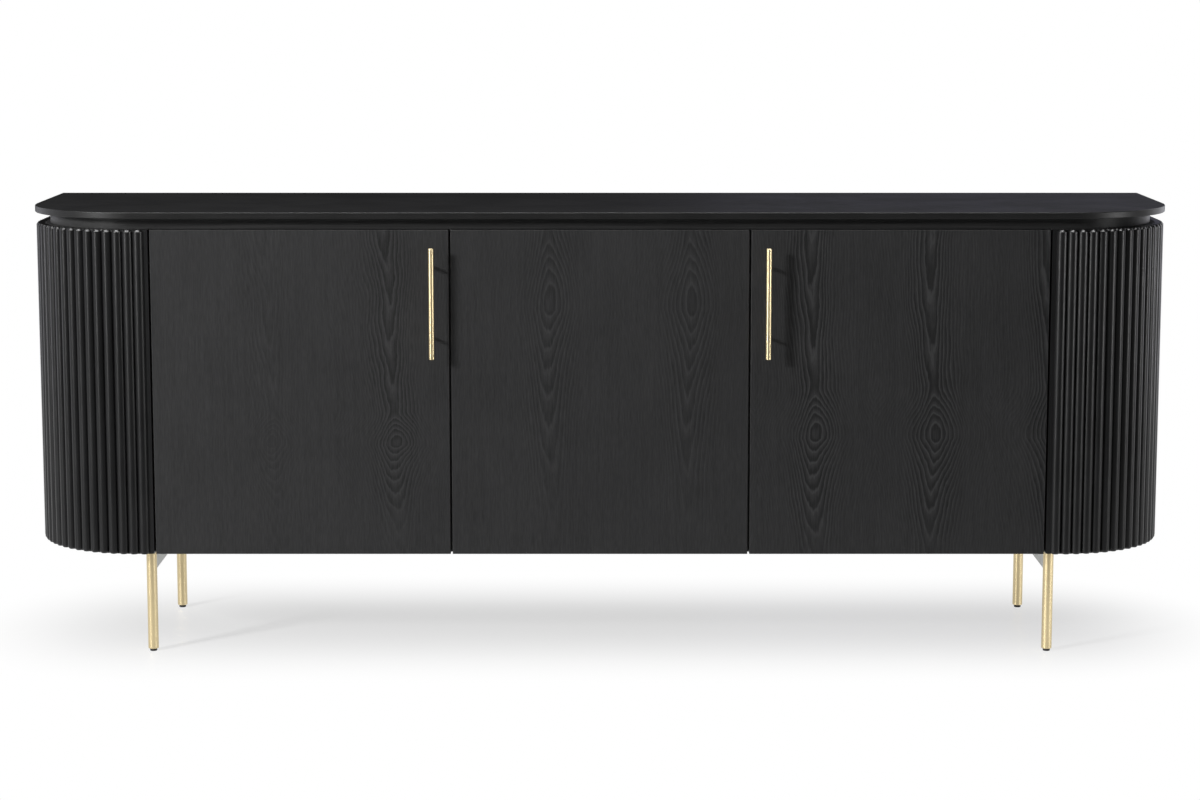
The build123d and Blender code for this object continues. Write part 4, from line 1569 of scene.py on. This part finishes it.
@dataclass(frozen=True)
class Card:
    """Studio card that only reflections see, by its four corners."""

    name: str
    corners: tuple[Point3, ...]
    tone: Colour

    @classmethod
    def upright(
        cls, name: str, start: Point2, end: Point2, tone: Colour, bottom: float = 0.0, top: float = 3.2,
    ) -> "Card":
        """Card that stands upright.

        Args:
            name: the card's name.
            start: where its lower edge starts.
            end: where its lower edge ends.
            tone: how bright it is.
            bottom: height of its lower edge.
            top: height of its upper edge.

        Returns:
            The card.
        """
        return cls(name, ((*start, bottom), (*end, bottom), (*end, top), (*start, top)), tone)

    @classmethod
    def sloped(cls, name: str, front: Point2, back: Point2, reach: Point2, tone: Colour) -> "Card":
        """Card that lies flat or slopes, with its long edges along X.

        Args:
            name: the card's name.
            front: Y and Z of its front edge.
            back: Y and Z of its back edge.
            reach: X of its left and right end.
            tone: how bright it is.

        Returns:
            The card.
        """
        left, right = reach
        return cls(name, ((left, *front), (right, *front), (right, *back), (left, *back)), tone)


@dataclass
class Studio:
    """White floor and surroundings, a key softbox from the left, an overhead softbox and grey reflection cards."""

    floor_half: float = 14.0
    floor_white: float = 0.90
    floor_rough: float = 0.35
    floor_specular: float = 0.25
    floor_veil: float = 0.60
    veil_back: float = 0.04
    veil_reach: float = 0.45
    veil_half_length: float = 0.80
    ambient: float = 0.09
    aim: Point3 = (0.0, 0.0, 0.45)
    key_place: Point3 = (-4.4, -3.6, 2.4)
    key_size: float = 0.9
    key_power: float = 308.0
    overhead_place: Point3 = (0.0, 0.1, 2.7)
    overhead_size: Point2 = (3.0, 0.8)
    overhead_power: float = 12.0
    cards: tuple[Card, ...] = (
        Card.sloped("floor_card", (-6.5, 0.004), (-1.0, 0.004), (-5.4, 5.4), grey(0.12)),
        Card.upright("front_card_left", (-5.2, -6.5), (0.0, -6.5), grey(0.42)),
        Card.upright("front_card_right", (0.0, -6.5), (5.2, -6.5), grey(0.16)),
        Card.upright("left_card_far", (-5.4, 0.6), (-5.4, -1.4), (0.80, 0.80, 0.88)),
        Card.upright("left_card_near", (-5.4, -1.4), (-5.4, -6.4), (0.28, 0.28, 0.29)),
        Card.upright("right_card", (5.4, -6.4), (5.4, 0.6), (0.30, 0.30, 0.32)),
        Card.upright("back_card_dark", (0.3, 2.5), (-2.8, 2.5), grey(0.015)),
        Card.upright("back_card_blue", (2.4, 2.5), (0.3, 2.5), (0.26, 0.26, 0.33)),
        Card.upright("rim_card_left", (-2.8, 2.5), (-4.2, 1.2), (1.3, 1.3, 1.4)),
        Card.upright("rim_card_right", (4.2, 1.2), (2.4, 2.5), (1.9, 1.9, 2.0)),
        Card.upright("left_strip", (-4.63, -4.37), (-3.77, -3.03), grey(50.0), 0.02, 1.0),
        Card.upright("right_strip", (4.3, -2.6), (4.55, -1.9), grey(25.0), 0.02, 1.2),
        Card.sloped("ceiling_card", (-6.5, 3.2), (2.5, 3.2), (-5.4, 5.4), grey(0.06)),
        Card.sloped("glint_card", (-1.25, 2.65), (-0.8, 2.75), (-2.6, 1.4), grey(34.0)),
    )

    def build(self) -> None:
        """Build the studio."""
        bpy.context.scene.view_settings.view_transform = "Standard"
        self.surroundings()
        self.floor()
        self.softbox("key_softbox", self.key_place, (self.key_size, self.key_size), self.key_power)
        self.softbox("overhead_softbox", self.overhead_place, self.overhead_size, self.overhead_power)
        for card in self.cards:
            self.stand_card(card)

    @staticmethod
    def seen_directly(bench: NodeBench) -> Socket:
        """Mask of rays that come from the camera or a mirror-like surface.

        Args:
            bench: the material's or the world's bench.

        Returns:
            The mask's socket.
        """
        rays = bench.add("ShaderNodeLightPath").outputs
        seen = bench.math("MAXIMUM", rays["Is Camera Ray"], rays["Is Glossy Ray"])
        return bench.math("MAXIMUM", seen, rays["Is Transmission Ray"])

    def surroundings(self) -> None:
        """White world that lights the object gently."""
        world = bpy.data.worlds.new("studio_world")
        bpy.context.scene.world = world
        bench = NodeBench.of(world)
        strength = bench.ramp(self.seen_directly(bench), 0.0, 1.0, self.ambient, 1.0)
        light = bench.add("ShaderNodeBackground", {"Color": grey(1.0), "Strength": strength})
        bench.add("ShaderNodeOutputWorld", {"Surface": light.outputs[0]})

    @staticmethod
    def stage_plane(name: str, corners: Sequence[Point3]) -> tuple[Object, NodeBench]:
        """Stand a plain plane on the stage with an empty material.

        Args:
            name: the plane's name.
            corners: its four corners.

        Returns:
            The plane and its material's bench.
        """
        made = bpy.data.materials.new(name)
        mesh = bpy.data.meshes.new(name)
        mesh.from_pydata(corners, [], [(0, 1, 2, 3)])
        mesh.materials.append(made)
        plane = bpy.data.objects.new(name, mesh)
        stand(plane)
        return plane, NodeBench.of(made)

    def stand_card(self, card: Card) -> None:
        """Stand a card that reflections see and nothing else does.

        Args:
            card: where it stands and how bright it is.
        """
        plane, bench = self.stage_plane(card.name, card.corners)
        glow = bench.add("ShaderNodeEmission", {"Color": card.tone})
        bench.add("ShaderNodeOutputMaterial", {"Surface": glow.outputs[0]})
        plane.visible_camera = plane.visible_diffuse = plane.visible_transmission = False
        plane.visible_shadow = plane.visible_volume_scatter = False

    def floor(self) -> None:
        """White floor that keeps the object's shadow and fades into the surroundings."""
        reach = self.floor_half
        corners = [(-reach, -reach, 0.0), (reach, -reach, 0.0), (reach, reach, 0.0), (-reach, reach, 0.0)]
        _, bench = self.stage_plane("floor", corners)
        surface = bench.add("ShaderNodeBsdfPrincipled", {
            "Base Color": grey(self.floor_white),
            "Roughness": self.floor_rough,
            "Specular IOR Level": self.floor_specular,
        })
        white = bench.add("ShaderNodeEmission")
        place = bench.add("ShaderNodeTexCoord").outputs["Object"]
        for operation, *values in (
            ("SUBTRACT", (0.0, self.veil_back, 0.0)),
            ("ABSOLUTE",),
            ("SUBTRACT", (self.veil_half_length, 0.0, 0.0)),
            ("MAXIMUM", (0.0, 0.0, 0.0)),
            ("LENGTH",),
        ):
            place = bench.vector(operation, place, *values)
        veil = bench.ramp(place, 0.0, self.veil_reach, self.floor_veil, 1.0)
        shown = bench.math("MULTIPLY", veil, self.seen_directly(bench))
        mixed = bench.add("ShaderNodeMixShader", {0: shown, 1: surface.outputs["BSDF"], 2: white.outputs[0]})
        bench.add("ShaderNodeOutputMaterial", {"Surface": mixed.outputs[0]})

    def softbox(self, name: str, place: Point3, size: Point2, power: float) -> None:
        """Stand a softbox that faces the object.

        Args:
            name: the lamp's name.
            place: where it stands.
            size: width and height.
            power: in watts.
        """
        data = bpy.data.lights.new(name, "AREA")
        data.shape = "RECTANGLE"
        data.size, data.size_y = size
        data.energy = power
        lamp = bpy.data.objects.new(name, data)
        lamp.location = place
        lamp.rotation_euler = (Vector(self.aim) - Vector(place)).to_track_quat("-Z", "Y").to_euler()
        stand(lamp)


def main() -> None:
    """Build the studio and every piece of the sideboard, in order."""
    logging.basicConfig(level=logging.INFO, format="%(message)s")
    Studio().build()
    PhotoCamera().build()
    TopBoards().build()
    for side in Side:
        ReededEnd(side).build()
    carcass, fittings, base = Carcass(), Fittings(), Base()
    carcass.build()
    fittings.build()
    base.build()
    doors = [
        Door("left", Side.LEFT, "outer_partition_left", True),
        Door("middle", Side.RIGHT, "inner_partition_right", False),
        Door("right", Side.RIGHT, "outer_partition_right", True),
    ]
    for door in doors:
        door.build()
    screws = carcass.back_screws() + fittings.top_screws() + base.bolts()
    for door in doors:
        screws += fittings.hinge_screws(door)
    ScrewSet("carcass", screws).build()


if __name__ == "__main__":
    main()
